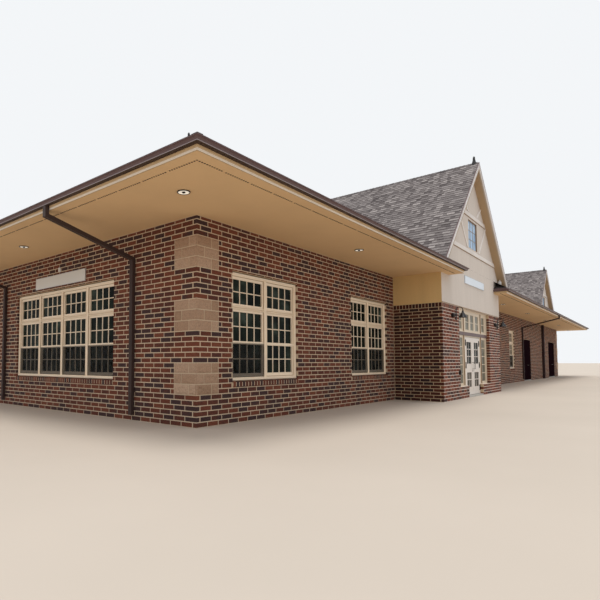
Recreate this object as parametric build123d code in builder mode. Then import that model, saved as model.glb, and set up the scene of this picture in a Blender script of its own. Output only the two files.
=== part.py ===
import os
from math import atan2, cos, degrees, hypot, pi, radians, sin, tan

from build123d import *

os.makedirs("parts", exist_ok=True)

# Railway station building, a scale model at 1:2. All sizes are millimetres of the model.
# +X runs along the platform front, +Y from the platform into the building, +Z is up.
# The origin is at ground level under the middle of the building.

# Body
body_length = 22250.4
body_depth = 4953.0
wall_thickness = 150.0
floor_top = 25.0
soffit_height = 2018.0

# Roof over the long body
eave_overhang = 1000.0
eave_top_height = 2130.0
ridge_height = 4255.0
hip_setback = 2225.0
roof_depth = 45.0
drip = 10.0

# Cross gables
gable_ridge_height = 4293.0
gable_pitch = 45.8
gable_roof_depth = 147.0
rake_overhang = 114.0
barge_thickness = 20.0
barge_depth = 155.0
rake_soffit_thickness = 8.0
attic_margin = 60.0

# Entrance pavilion, with a twin at the back
pavilion_offset = 6425.0
pavilion_width = 3657.6
pavilion_projection = 768.0
stucco_bottom = 1547.0
return_length = 379.0

# Far gable, which stands on the long wall, measured from the far end
far_gable_inset = 2627.4
far_gable_setback = 60.0

# Eave trim
soffit_thickness = 12.0
fascia_thickness = 12.0
gutter_width = 63.0
gutter_bottom_height = 2060.0
gutter_top_height = 2095.0
gutter_wall = 3.0
gutter_foot_width = 42.0
gutter_foot_rise = 6.0
gutter_back_gap = 3.0

# Windows
sill_height = 426.0
head_height = 1551.0
window_recess = 36.0
window_frame_depth = 44.0
sash_recess = 8.0
sash_depth = 18.0
glass_thickness = 4.0
double_window_width = 1202.0
single_window_width = 675.0
end_window_width = 2330.0
jamb_width = 34.0
mullion_width = 44.0
window_sill_rail = 31.0
head_rail = 34.0
stile_width = 26.0
bottom_rail = 41.0
meeting_rail_height = 378.0
meeting_rail = 33.0
transom_rail_height = 718.0
transom_rail = 83.0
top_rail = 34.0
brick_sill_depth = 58.0
brick_sill_nose = 8.0
brick_sill_slope = 16.0
screen_thickness = 3.0
screen_recess = 2.0

# Distance of each front window's left side from the west end of the body
near_window_offset = 518.0
inner_window_offset = 3102.0
beyond_pavilion_window_offset = 8546.0
far_single_window_offset = 13000.0
rear_extra_window_offset = 16600.0

# Entrance front
entry_width = 1940.0
door_gap = 925.0
knee_height = 203.2
entry_recess = 57.0
entry_frame_depth = 60.0
door_head_height = 1066.0
transom_sill_height = 1145.0
door_post = 140.0
outer_post = 112.0
entry_rail = 50.0
transom_post = 110.0
sidelite_head = 1040.0
transom_top = 1467.0
side_transom_inset = 30.0
entry_glass_recess = 26.0
dark_bar_height = 60.0
dark_bar_nose = 12.0

# Entrance door leaves
door_clearance = 5.0
head_clearance = 6.0
meeting_gap = 6.4
leaf_bottom = 33.0
leaf_thickness = 22.0
leaf_stile = 86.0
leaf_upper_glass = (588.0, 975.0)
leaf_lower_glass = (171.0, 431.0)
hinge_radius = 4.7
hinge_length = 55.0
hinge_heights = (140.0, 560.0, 960.0)
pull_bottom = 490.0
pull_top = 610.0
pull_bend = 8.0
pull_reach = 32.0
pull_radius = 4.0
pull_inset = 42.0

# Service doors, in pairs, with the distance of each left side from the far end
service_door_insets = (7208.4, 2349.4)
service_door_widths = (1150.0, 1440.0)
service_door_heights = (1365.0, 1420.0)
service_frame_width = 25.0
service_frame_depth = 60.0
service_recess = 4.0
service_hinge_shares = (0.15, 0.5, 0.85)
lever_height = 515.0
lever_length = 58.0
lever_radius = 5.0
lever_reach = 28.0
rose_radius = 14.0
lever_inset = 34.0

# Gable trim, with heights measured down from the gable's ridge and braces from its middle
timber_width = 70.0
timber_thickness = 12.0
lower_band_drop = 1723.0
upper_band_drop = 1043.0
brace_width = 46.0
brace_foot = (335.0, 1628.0)
brace_head = (845.0, 1048.0)
upper_brace_foot = (235.0, 963.0)
upper_brace_head = (520.0, 733.0)
gable_window_width = 550.0
gable_window_head_drop = 1093.0
gable_window_sill_drop = 1613.0
far_window_sill_drop = 1473.0
gable_frame_width = 34.0
gable_frame_depth = 40.0
gable_glass_recess = 12.0

# Corner blocks of cast stone
quoin_reach = 304.8
quoin_rows_height = 304.8
quoin_spacing = 609.6
quoin_bottom = 304.8
quoin_thickness = 4.0

# Rainwater pipes
pipe_width = 50.0
pipe_depth = 38.0
pipe_foot_height = 60.0
pipe_drop = 90.0
pipe_knee_height = 1722.0
pipe_wall_gap = 6.0
end_pipe_offset = 950.0
front_pipe_inset = 7418.4

# Small fittings
gable_finial_height = 130.0
hip_finial_height = 185.0
finial_base_radius = 58.0
finial_cone_height = 55.0
finial_neck_radius = 24.0
finial_cap_radius = 19.0
finial_tip_height = 18.0
finial_tip_radius = 9.0
finial_facets = 8
downlight_radius = 55.0
downlight_lens_radius = 40.0
downlight_depth = 6.0
downlight_lens_depth = 3.0
downlight_line = 490.0
downlight_offsets = (2377.0, 10000.0, 13000.0, 16000.0, 19000.0)
corner_downlight = (512.0, 358.0)
chase_inset = 3800.4
chase_width = 125.0
chase_depth = 75.0
lamp_inset = 676.0
far_lamp_inset = 208.6
lamp_foot_height = 1310.0
lamp_bend_height = 1517.0
lamp_shade_top = 1450.0
lamp_shade_rim = 1347.0
lamp_arm_gap = 12.0
lamp_reach = 112.0
lamp_bend = 42.0
lamp_neck_radius = 16.0
lamp_shade_radius = 70.0
lamp_shade_wall = 3.0
lamp_arm_radius = 6.0
lamp_plate_radius = 22.0
bell_inset = 474.0
far_bell_inset = 438.6
bell_height = 1372.0
bell_radius = 36.0
bell_depth = 50.0
bell_bevel = 14.0
buzzer_height = 430.0
buzzer_width = 50.0
buzzer_depth = 30.0
buzzer_inset = 70.0
chase_lamp_height = 1428.0
chase_lamp_radius = 34.0

# Values that follow from the sizes above
west_x = -body_length / 2
east_x = body_length / 2
front_y = -body_depth / 2
pavilion_x = west_x + pavilion_offset
far_gable_x = east_x - far_gable_inset
pavilion_half = pavilion_width / 2
pavilion_y = front_y - pavilion_projection
fascia_y = front_y - eave_overhang
fascia_x = west_x - eave_overhang
return_half = pavilion_half - return_length
entry_half = entry_width / 2
slope = (ridge_height - eave_top_height) / (body_depth / 2 + eave_overhang)
hip_slope = (ridge_height - eave_top_height) / (hip_setback + eave_overhang)
gable_slope = tan(radians(gable_pitch))
wall_top = eave_top_height - roof_depth + slope * eave_overhang
gable_under = gable_ridge_height - gable_roof_depth - rake_soffit_thickness
gable_window_top = gable_ridge_height - gable_window_head_drop
gable_window_bottom = gable_ridge_height - gable_window_sill_drop
far_gable_window_bottom = gable_ridge_height - far_window_sill_drop
front_plane = Plane.XZ.offset(-front_y)
pavilion_plane = Plane.XZ.offset(-pavilion_y)


def roof_top(y):
    """Height of the long roof's surface above a line at y in front of the ridge."""
    return eave_top_height + slope * (y - fascia_y)


def save(piece, name):
    piece.part.label = name
    export_step(piece.part, f"parts/{name}.step")


def area(x0, x1, z0, z1, mode=Mode.ADD):
    """A rectangle of a sketch, given by its sides."""
    with Locations(((x0 + x1) / 2, (z0 + z1) / 2)):
        Rectangle(x1 - x0, z1 - z0, mode=mode)


def block(x0, x1, y0, y1, z0, z1, mode=Mode.ADD):
    """A block given by its faces."""
    with Locations(((x0 + x1) / 2, (y0 + y1) / 2, (z0 + z1) / 2)):
        Box(x1 - x0, y1 - y0, z1 - z0, mode=mode)


def window_holes(offsets_and_widths):
    for left, width in offsets_and_widths:
        area(west_x + left, west_x + left + width, sill_height - brick_sill_depth, head_height, Mode.SUBTRACT)


west_windows = [(near_window_offset, double_window_width), (inner_window_offset, double_window_width)]
east_windows = [
    (beyond_pavilion_window_offset, double_window_width),
    (far_single_window_offset, single_window_width),
]
rear_windows = west_windows + east_windows + [(rear_extra_window_offset, double_window_width)]
pavilion_west = pavilion_x - pavilion_half
pavilion_east = pavilion_x + pavilion_half
inner_west = pavilion_west + wall_thickness
inner_east = pavilion_east - wall_thickness
doorways = [
    (east_x - inset, east_x - inset + width, height)
    for inset, width, height in zip(service_door_insets, service_door_widths, service_door_heights)
]

# Floor
with BuildPart() as floor_slab:
    with BuildSketch():
        inner_x = east_x - wall_thickness
        inner_y = -front_y - wall_thickness
        area(-inner_x, inner_x, -inner_y, inner_y)
        area(inner_west, inner_east, pavilion_y + wall_thickness, -pavilion_y - wall_thickness)
        area(pavilion_x - door_gap / 2, pavilion_x + door_gap / 2, pavilion_y, -pavilion_y)
        for left, right, _ in doorways:
            area(left, right, front_y, 0)
    extrude(amount=floor_top)
save(floor_slab, "floor_slab")

# End walls
for name, plane_x in (("west_wall", west_x), ("east_wall", east_x - wall_thickness)):
    with BuildPart() as end_wall:
        with BuildSketch(Plane.YZ.offset(plane_x)):
            area(front_y, -front_y, 0, wall_top)
            half = end_window_width / 2
            area(-half, half, sill_height - brick_sill_depth, head_height, Mode.SUBTRACT)
        extrude(amount=wall_thickness)
    save(end_wall, name)

# Long walls on the platform side
with BuildPart() as front_wall_west:
    with BuildSketch(front_plane):
        area(west_x + wall_thickness, inner_west, 0, wall_top)
        window_holes(west_windows)
    extrude(amount=-wall_thickness)
save(front_wall_west, "front_wall_west")

with BuildPart() as front_wall_east:
    with BuildSketch(front_plane):
        area(inner_east, doorways[0][0], 0, wall_top)
        window_holes(east_windows)
    extrude(amount=-wall_thickness)
save(front_wall_east, "front_wall_east")

with BuildPart() as front_wall_between_doors:
    with BuildSketch(front_plane):
        area(doorways[0][1], doorways[1][0], 0, wall_top)
    extrude(amount=-wall_thickness)
save(front_wall_between_doors, "front_wall_between_doors")

with BuildPart() as front_wall_far_end:
    with BuildSketch(front_plane):
        area(doorways[1][1], east_x - wall_thickness, 0, wall_top)
    extrude(amount=-wall_thickness)
save(front_wall_far_end, "front_wall_far_end")

with BuildPart() as door_heads:
    with BuildSketch(front_plane):
        for left, right, height in doorways:
            area(left, right, height, wall_top)
    extrude(amount=-wall_thickness)
save(door_heads, "service_door_heads")

# Long walls at the back
rear_plane = Plane.XZ.offset(front_y)
with BuildPart() as rear_wall_west:
    with BuildSketch(rear_plane):
        area(west_x + wall_thickness, inner_west, 0, wall_top)
        window_holes(west_windows)
    extrude(amount=wall_thickness)
save(rear_wall_west, "rear_wall_west")

with BuildPart() as rear_wall_east:
    with BuildSketch(rear_plane):
        area(inner_east, east_x - wall_thickness, 0, wall_top)
        window_holes(rear_windows[2:])
    extrude(amount=wall_thickness)
save(rear_wall_east, "rear_wall_east")

# Pavilion brickwork: side walls, then piers with the low walls under the side lights
with BuildPart() as pavilion_side_walls:
    with BuildSketch():
        for left in (pavilion_west, inner_east):
            area(left, left + wall_thickness, pavilion_y + wall_thickness, front_y)
    extrude(amount=stucco_bottom)
    mirror(about=Plane.XZ)
save(pavilion_side_walls, "pavilion_side_walls")

with BuildPart() as pavilion_piers:
    with BuildSketch(pavilion_plane):
        area(pavilion_west, pavilion_east, 0, stucco_bottom)
        area(pavilion_x - entry_half, pavilion_x + entry_half, knee_height, stucco_bottom, Mode.SUBTRACT)
        area(pavilion_x - door_gap / 2, pavilion_x + door_gap / 2, 0, knee_height, Mode.SUBTRACT)
    extrude(amount=-wall_thickness)
    mirror(about=Plane.XZ)
save(pavilion_piers, "pavilion_piers")

# Stucco above the brickwork
with BuildPart() as pavilion_stucco_sides:
    stucco_side_top = roof_top(pavilion_y + wall_thickness) - roof_depth
    for left in (pavilion_west, inner_east):
        right = left + wall_thickness
        block(left, right, pavilion_y + wall_thickness, front_y, stucco_bottom, stucco_side_top)
    mirror(about=Plane.XZ)
save(pavilion_stucco_sides, "pavilion_stucco_sides")


def gable_wall(x, y, half, bottom, window_bottom):
    """A gable's wall plate with its window hole, from its foot up to the raking roof."""
    with BuildSketch(Plane.XZ.offset(-y)) as face:
        with BuildLine():
            Polyline(
                (x - half, bottom),
                (x + half, bottom),
                (x + half, gable_under - gable_slope * half),
                (x, gable_under),
                (x - half, gable_under - gable_slope * half),
                close=True,
            )
        make_face()
        window_half = gable_window_width / 2
        area(x - window_half, x + window_half, window_bottom, gable_window_top, Mode.SUBTRACT)
    extrude(face.sketch, amount=-wall_thickness)


far_gable_y = front_y + far_gable_setback
far_gable_half = (gable_under - roof_top(far_gable_y)) / gable_slope
with BuildPart() as gable_walls:
    gable_wall(pavilion_x, pavilion_y, pavilion_half, stucco_bottom, gable_window_bottom)
    gable_wall(far_gable_x, far_gable_y, far_gable_half, wall_top, far_gable_window_bottom)
    mirror(about=Plane.XZ)
save(gable_walls, "gable_walls")

# Cast stone blocks at the corners
with BuildPart() as corner_quoins:
    for level in range(3):
        foot = quoin_bottom + level * quoin_spacing
        with BuildSketch(Plane.XY.offset(foot)):
            area(
                west_x - quoin_thickness,
                west_x + quoin_reach,
                front_y - quoin_thickness,
                front_y + quoin_reach,
            )
            area(west_x, west_x + quoin_reach, front_y, front_y + quoin_reach, Mode.SUBTRACT)
        extrude(amount=quoin_rows_height)
    mirror(about=Plane.XZ)
    mirror(about=Plane.YZ)
save(corner_quoins, "corner_quoins")

# Long roof, cut where the gables pass through it
long_roof_end = body_length / 2 + eave_overhang
hip_run = hip_setback + eave_overhang
roof_half = body_depth / 2 + eave_overhang


def sloping_board(plane, run, rise_per_run, width):
    """A roof slope of even depth that climbs from the eave for the given run, on a plane across it."""
    low = -drip * rise_per_run
    with BuildSketch(plane) as section:
        with BuildLine():
            Polyline(
                (-drip, low),
                (run, rise_per_run * run),
                (run, rise_per_run * run - roof_depth),
                (-drip, low - roof_depth),
                close=True,
            )
        make_face()
    extrude(section.sketch, amount=width / 2, both=True)


def keep_plan(points):
    """Keep what stands over a plan outline."""
    with BuildSketch() as plan:
        with BuildLine():
            Polyline(*points, close=True)
        make_face()
    extrude(plan.sketch, amount=2 * ridge_height, mode=Mode.INTERSECT)


def cut_plan(points, height=2 * ridge_height):
    with BuildSketch() as plan:
        with BuildLine():
            Polyline(*points, close=True)
        make_face()
    extrude(plan.sketch, amount=height, mode=Mode.SUBTRACT)


def attic_outline(x, y):
    """Plan of the opening in the long roof behind a gable wall whose face is at y, short of the ridge."""
    near = (gable_under - roof_top(y)) / gable_slope
    far_height = min(gable_under, ridge_height) - attic_margin
    far = (gable_under - far_height) / gable_slope
    far_y = (far_height - ridge_height) / slope
    return [(x - near, y), (x + near, y), (x + far, far_y), (x - far, far_y)]


eave_edge = roof_half + drip
hip_edge = long_roof_end + drip
slope_plan = [
    (-hip_edge, -eave_edge),
    (hip_edge, -eave_edge),
    (long_roof_end - hip_run, 0),
    (-long_roof_end + hip_run, 0),
]


def long_slope():
    plane = Plane(origin=(0, fascia_y, eave_top_height), x_dir=(0, 1, 0), z_dir=(1, 0, 0))
    sloping_board(plane, roof_half, slope, 2 * hip_edge)
    keep_plan(slope_plan)
    cut_plan(attic_outline(pavilion_x, pavilion_y))
    cut_plan(attic_outline(far_gable_x, far_gable_y))
    inner_face_y = pavilion_y + wall_thickness
    block(pavilion_west, pavilion_east, pavilion_y, inner_face_y, 0, ridge_height, Mode.SUBTRACT)
    block(
        far_gable_x - far_gable_half,
        far_gable_x + far_gable_half,
        far_gable_y,
        far_gable_y + wall_thickness,
        0,
        ridge_height,
        Mode.SUBTRACT,
    )
    reach = pavilion_y - fascia_y
    gap_edge = return_half - drip
    cut_plan(
        [
            (pavilion_x - gap_edge, -eave_edge),
            (pavilion_x + gap_edge, -eave_edge),
            (pavilion_x + return_half + reach, pavilion_y),
            (pavilion_x - return_half - reach, pavilion_y),
        ]
    )


with BuildPart() as roof_front_slope:
    long_slope()
save(roof_front_slope, "roof_front_slope")

with BuildPart() as roof_rear_slope:
    mirror(roof_front_slope.part, about=Plane.XZ)
save(roof_rear_slope, "roof_rear_slope")

with BuildPart() as roof_hip_west:
    plane = Plane(origin=(fascia_x, 0, eave_top_height), x_dir=(1, 0, 0), z_dir=(0, -1, 0))
    sloping_board(plane, hip_run, hip_slope, 2 * eave_edge)
    keep_plan([(-hip_edge, -eave_edge), (-long_roof_end + hip_run, 0), (-hip_edge, eave_edge)])
save(roof_hip_west, "roof_hip_west")

with BuildPart() as roof_hip_east:
    mirror(roof_hip_west.part, about=Plane.YZ)
save(roof_hip_east, "roof_hip_east")

with BuildPart() as roof_return_ends:
    reach = pavilion_y - fascia_y
    plane = Plane(origin=(pavilion_x - return_half, 0, eave_top_height), x_dir=(-1, 0, 0), z_dir=(0, 1, 0))
    sloping_board(plane, reach, slope, 2 * eave_edge)
    keep_plan(
        [
            (pavilion_x - return_half + drip, -eave_edge),
            (pavilion_x - return_half + drip, pavilion_y),
            (pavilion_x - return_half - reach, pavilion_y),
        ]
    )
    mirror(about=Plane.YZ.offset(pavilion_x))
    mirror(about=Plane.XZ)
save(roof_return_ends, "roof_return_ends")


# Cross gable roofs, cut by the long roof they rise from
def under_long_roof():
    """Everything below the surface of the long roof, to be taken away."""
    with BuildSketch(Plane.YZ.offset(-hip_edge)) as section:
        with BuildLine():
            Polyline(
                (-roof_half - roof_half, -ridge_height),
                (roof_half + roof_half, -ridge_height),
                (roof_half + roof_half, eave_top_height - slope * roof_half),
                (0, ridge_height),
                (-roof_half - roof_half, eave_top_height - slope * roof_half),
                close=True,
            )
        make_face()
    extrude(section.sketch, amount=2 * hip_edge, mode=Mode.SUBTRACT)


def gable_slopes(side):
    for x, wall_y in ((pavilion_x, pavilion_y), (far_gable_x, far_gable_y)):
        end_y = wall_y - rake_overhang
        reach = (gable_ridge_height - eave_top_height) / gable_slope
        with BuildSketch(Plane.XZ.offset(-end_y)) as section:
            with BuildLine():
                Polyline(
                    (x, gable_ridge_height),
                    (x, gable_ridge_height - gable_roof_depth),
                    (x + side * reach, gable_ridge_height - gable_roof_depth - reach * gable_slope),
                    (x + side * reach, gable_ridge_height - reach * gable_slope),
                    close=True,
                )
            make_face()
        extrude(section.sketch, amount=2 * end_y)
    under_long_roof()


with BuildPart() as gable_roof_west_slopes:
    gable_slopes(-1)
save(gable_roof_west_slopes, "gable_roof_west_slopes")

with BuildPart() as gable_roof_east_slopes:
    gable_slopes(1)
save(gable_roof_east_slopes, "gable_roof_east_slopes")

# Boards under the raking eaves and the barge boards on their ends
def raking_strip(x, y, depth_top, depth_bottom, thickness):
    """A strip that follows both slopes of a gable, measured down from the ridge line, as an upside-down V."""
    reach = (gable_ridge_height - eave_top_height) / gable_slope
    with BuildSketch(Plane.XZ.offset(-y)) as section:
        with BuildLine():
            Polyline(
                (x, gable_ridge_height - depth_top),
                (x + reach, gable_ridge_height - depth_top - gable_slope * reach),
                (x + reach, gable_ridge_height - depth_bottom - gable_slope * reach),
                (x, gable_ridge_height - depth_bottom),
                (x - reach, gable_ridge_height - depth_bottom - gable_slope * reach),
                (x - reach, gable_ridge_height - depth_top - gable_slope * reach),
                close=True,
            )
        make_face()
    extrude(section.sketch, amount=thickness)


gable_faces = ((pavilion_x, pavilion_y), (far_gable_x, far_gable_y))
with BuildPart() as rake_soffits:
    for x, y in gable_faces:
        raking_strip(
            x,
            y + wall_thickness,
            gable_roof_depth,
            gable_roof_depth + rake_soffit_thickness,
            rake_overhang + wall_thickness,
        )
    under_long_roof()
    mirror(about=Plane.XZ)
save(rake_soffits, "rake_soffits")

with BuildPart() as barge_boards:
    for x, y in gable_faces:
        raking_strip(x, y - rake_overhang, 0, barge_depth, barge_thickness)
    under_long_roof()
    mirror(about=Plane.XZ)
save(barge_boards, "barge_boards")

# Level soffit boards under the long eaves
west_return_x = pavilion_x - return_half
east_return_x = pavilion_x + return_half
fascia_back_y = fascia_y + fascia_thickness
with BuildPart() as eave_soffits_long:
    with BuildSketch(Plane.XY.offset(soffit_height)):
        area(fascia_x + fascia_thickness, west_return_x - fascia_thickness, fascia_back_y, front_y)
        area(east_return_x + fascia_thickness, -fascia_x - fascia_thickness, fascia_back_y, front_y)
        area(pavilion_west, pavilion_east, pavilion_y, front_y, Mode.SUBTRACT)
    extrude(amount=soffit_thickness)
    mirror(about=Plane.XZ)
save(eave_soffits_long, "eave_soffits_long")

with BuildPart() as eave_soffits_ends:
    block(
        fascia_x + fascia_thickness,
        west_x,
        front_y,
        -front_y,
        soffit_height,
        soffit_height + soffit_thickness,
    )
    mirror(about=Plane.YZ)
save(eave_soffits_ends, "eave_soffits_ends")

# Fascia boards behind the gutters
with BuildPart() as fascia_boards:
    with BuildSketch(Plane.XY.offset(soffit_height)):
        for left, right in ((fascia_x, west_return_x), (east_return_x, -fascia_x)):
            area(left, right, fascia_y, -fascia_y)
            area(
                left + fascia_thickness,
                right - fascia_thickness,
                fascia_back_y,
                -fascia_back_y,
                Mode.SUBTRACT,
            )
        area(pavilion_west, pavilion_east, pavilion_y, -pavilion_y, Mode.SUBTRACT)
    extrude(amount=eave_top_height - roof_depth - soffit_height)
save(fascia_boards, "fascia_boards")


# Gutters with a coved front, open at the top
def gutter(return_x, end_x):
    out = 1 if end_x < return_x else -1
    cove = gutter_width - gutter_foot_width
    inner_cove = cove + gutter_wall
    cove_z = gutter_bottom_height + gutter_foot_rise
    lip_z = cove_z + (inner_cove**2 - gutter_wall**2) ** 0.5
    back_top = eave_top_height - roof_depth - drip * slope - gutter_back_gap
    with BuildLine() as route:
        Polyline(
            (return_x, pavilion_y),
            (return_x, fascia_y),
            (end_x, fascia_y),
            (end_x, -fascia_y),
            (return_x, -fascia_y),
            (return_x, -pavilion_y),
        )
    start = Plane(origin=(return_x, pavilion_y, 0), x_dir=(1, 0, 0), z_dir=(0, -1, 0))
    with BuildSketch(start) as section:
        with BuildLine():
            foot = (out * gutter_foot_width, gutter_bottom_height)
            Polyline((0, back_top), (0, gutter_bottom_height), foot, (foot[0], cove_z))
            ThreePointArc(
                (foot[0], cove_z),
                (out * (gutter_width - cove * cos(radians(45))), cove_z + cove * sin(radians(45))),
                (out * gutter_width, cove_z + cove),
            )
            Polyline(
                (out * gutter_width, cove_z + cove),
                (out * gutter_width, gutter_top_height),
                (out * (gutter_width - gutter_wall), gutter_top_height),
                (out * (gutter_width - gutter_wall), lip_z),
            )
            ThreePointArc(
                (out * (gutter_width - gutter_wall), lip_z),
                (
                    out * (gutter_width - inner_cove * cos(radians(45))),
                    cove_z + inner_cove * sin(radians(45)),
                ),
                (out * (gutter_width - inner_cove), cove_z),
            )
            Polyline(
                (out * (gutter_width - inner_cove), cove_z),
                (out * (gutter_width - inner_cove), gutter_bottom_height + gutter_wall),
                (out * gutter_wall, gutter_bottom_height + gutter_wall),
                (out * gutter_wall, back_top),
                (0, back_top),
            )
        make_face()
    sweep(section.sketch, path=route.wire(), transition=Transition.RIGHT)


with BuildPart() as gutters:
    gutter(west_return_x, fascia_x)
    gutter(east_return_x, -fascia_x)
save(gutters, "gutters")

# Faces of the building, with their own +X along the wall and +Z outwards
front_face = Plane(origin=(0, front_y, 0), x_dir=(1, 0, 0), z_dir=(0, -1, 0))
rear_face = Plane(origin=(0, -front_y, 0), x_dir=(-1, 0, 0), z_dir=(0, 1, 0))
west_face = Plane(origin=(west_x, 0, 0), x_dir=(0, -1, 0), z_dir=(-1, 0, 0))
east_face = Plane(origin=(east_x, 0, 0), x_dir=(0, 1, 0), z_dir=(1, 0, 0))


def units_of(width):
    """How many sashes stand side by side in a window of this width."""
    return max(1, round(width / (double_window_width / 2)))


all_windows = [(front_face, west_x + left, width) for left, width in west_windows + east_windows]
all_windows += [(rear_face, -west_x - left - width, width) for left, width in rear_windows]
all_windows += [(face, -end_window_width / 2, end_window_width) for face in (west_face, east_face)]


def unit_lights(left, width):
    """The clear openings of a window's frame, one a sash pair, as (left, right)."""
    count = units_of(width)
    clear = (width - 2 * jamb_width - (count - 1) * mullion_width) / count
    starts = [left + jamb_width + i * (clear + mullion_width) for i in range(count)]
    return [(start, start + clear) for start in starts]


sash_bottom = sill_height + window_sill_rail
sash_top = head_height - head_rail


def window_frame(face, left, width):
    with BuildSketch(face.offset(-window_recess)) as frame:
        area(left, left + width, sill_height, head_height)
        for x0, x1 in unit_lights(left, width):
            area(x0, x1, sash_bottom, sash_top, Mode.SUBTRACT)
    extrude(frame.sketch, amount=-window_frame_depth)
    with BuildSketch(face.offset(-window_recess - sash_recess)) as sashes:
        for x0, x1 in unit_lights(left, width):
            area(x0, x1, sash_bottom, sash_top)
            for bottom, top in (
                (sash_bottom + bottom_rail, sill_height + meeting_rail_height),
                (sill_height + meeting_rail_height + meeting_rail, sill_height + transom_rail_height),
                (sill_height + transom_rail_height + transom_rail, sash_top - top_rail),
            ):
                area(x0 + stile_width, x1 - stile_width, bottom, top, Mode.SUBTRACT)
    extrude(sashes.sketch, amount=-sash_depth)


def gable_window(x, y, window_bottom):
    face = Plane(origin=(0, y, 0), x_dir=(1, 0, 0), z_dir=(0, -1, 0))
    left = x - gable_window_width / 2
    right = x + gable_window_width / 2
    with BuildSketch(face.offset(timber_thickness)) as frame:
        area(left, right, window_bottom, gable_window_top)
        area(
            left + gable_frame_width,
            right - gable_frame_width,
            window_bottom + gable_frame_width,
            gable_window_top - gable_frame_width,
            Mode.SUBTRACT,
        )
    extrude(frame.sketch, amount=-timber_thickness - gable_frame_depth)


with BuildPart() as window_frames:
    for face, left, width in all_windows:
        window_frame(face, left, width)
save(window_frames, "window_frames")

gable_windows = (
    (pavilion_x, pavilion_y, gable_window_bottom),
    (far_gable_x, far_gable_y, far_gable_window_bottom),
)
with BuildPart() as gable_window_frames:
    for x, y, window_bottom in gable_windows:
        gable_window(x, y, window_bottom)
    mirror(about=Plane.XZ)
save(gable_window_frames, "gable_window_frames")

with BuildPart() as window_glass:
    for face, left, width in all_windows:
        with BuildSketch(face.offset(-window_recess - sash_recess - sash_depth)) as panes:
            for x0, x1 in unit_lights(left, width):
                area(x0, x1, sash_bottom, sash_top)
        extrude(panes.sketch, amount=-glass_thickness)
save(window_glass, "window_glass")

with BuildPart() as gable_window_glass:
    for x, y, window_bottom in gable_windows:
        block(
            x - gable_window_width / 2 + gable_frame_width,
            x + gable_window_width / 2 - gable_frame_width,
            y + gable_glass_recess,
            y + gable_glass_recess + glass_thickness,
            window_bottom + gable_frame_width,
            gable_window_top - gable_frame_width,
        )
    mirror(about=Plane.XZ)
save(gable_window_glass, "gable_window_glass")

# Insect screens over the lower sashes, but for one that is open
with BuildPart() as insect_screens:
    for index, (face, left, width) in enumerate(all_windows):
        with BuildSketch(face.offset(-window_recess - screen_recess)) as screens:
            for unit, (x0, x1) in enumerate(unit_lights(left, width)):
                if (index, unit) != (0, 1):
                    area(x0, x1, sash_bottom, sill_height + meeting_rail_height + meeting_rail / 2)
        extrude(screens.sketch, amount=-screen_thickness)
save(insect_screens, "insect_screens")

# Sloped sills of bricks on edge
with BuildPart() as brick_sills:
    for face, left, width in all_windows:
        side = Plane(origin=face.from_local_coords((left, 0, 0)), x_dir=-face.z_dir, z_dir=face.x_dir)
        with BuildSketch(side) as section:
            with BuildLine():
                Polyline(
                    (-brick_sill_nose, sill_height - brick_sill_depth),
                    (wall_thickness, sill_height - brick_sill_depth),
                    (wall_thickness, sill_height),
                    (window_recess, sill_height),
                    (-brick_sill_nose, sill_height - brick_sill_slope),
                    close=True,
                )
            make_face()
        extrude(section.sketch, amount=width)
save(brick_sills, "brick_sills")

# Boards on the stucco of the gables
def gable_boards(x, y, half, bottom):
    with BuildSketch(Plane.XZ.offset(-y)) as boards:
        for drop in (lower_band_drop, upper_band_drop):
            level = gable_ridge_height - drop
            area(x - pavilion_half, x + pavilion_half, level, level + timber_width)
        for side in (-1, 1):
            for foot, head in ((brace_foot, brace_head), (upper_brace_foot, upper_brace_head)):
                run = head[0] - foot[0]
                rise = foot[1] - head[1]
                width = brace_width * hypot(run, rise) / rise
                low = gable_ridge_height - foot[1]
                high = gable_ridge_height - head[1]
                with BuildLine():
                    Polyline(
                        (x + side * foot[0], low),
                        (x + side * (foot[0] + width), low),
                        (x + side * (head[0] + width), high),
                        (x + side * head[0], high),
                        close=True,
                    )
                make_face()
        with BuildLine():
            Polyline(
                (x - half, bottom),
                (x + half, bottom),
                (x + half, gable_under - gable_slope * half),
                (x, gable_under),
                (x - half, gable_under - gable_slope * half),
                close=True,
            )
        make_face(mode=Mode.INTERSECT)
        area(
            x - gable_window_width / 2,
            x + gable_window_width / 2,
            gable_window_bottom,
            gable_window_top,
            Mode.SUBTRACT,
        )
    extrude(boards.sketch, amount=timber_thickness)


with BuildPart() as gable_timbers:
    gable_boards(pavilion_x, pavilion_y, pavilion_half, stucco_bottom)
    gable_boards(far_gable_x, far_gable_y, far_gable_half - drip, roof_top(far_gable_y))
    mirror(about=Plane.XZ)
save(gable_timbers, "gable_timbers")

# Entrance frame with side lights and transom lights
entry_face = pavilion_plane.offset(-entry_recess)
door_half = door_gap / 2
sidelite = (door_half + door_post, entry_half - outer_post)
side_transom = (sidelite[0] + side_transom_inset, sidelite[1] - side_transom_inset)
transom_pitch = door_gap / 3
transom_half = (transom_pitch - transom_post) / 2
entry_lights = [
    (side * (edges[0] + edges[1]) / 2 - (edges[1] - edges[0]) / 2, edges[1] - edges[0], low, high)
    for side in (-1, 1)
    for edges, low, high in (
        (sidelite, knee_height + entry_rail, sidelite_head),
        (side_transom, transom_sill_height + entry_rail, transom_top),
    )
]
entry_lights += [
    (i * transom_pitch - transom_half, 2 * transom_half, transom_sill_height + entry_rail, transom_top)
    for i in (-1, 0, 1)
]

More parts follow.
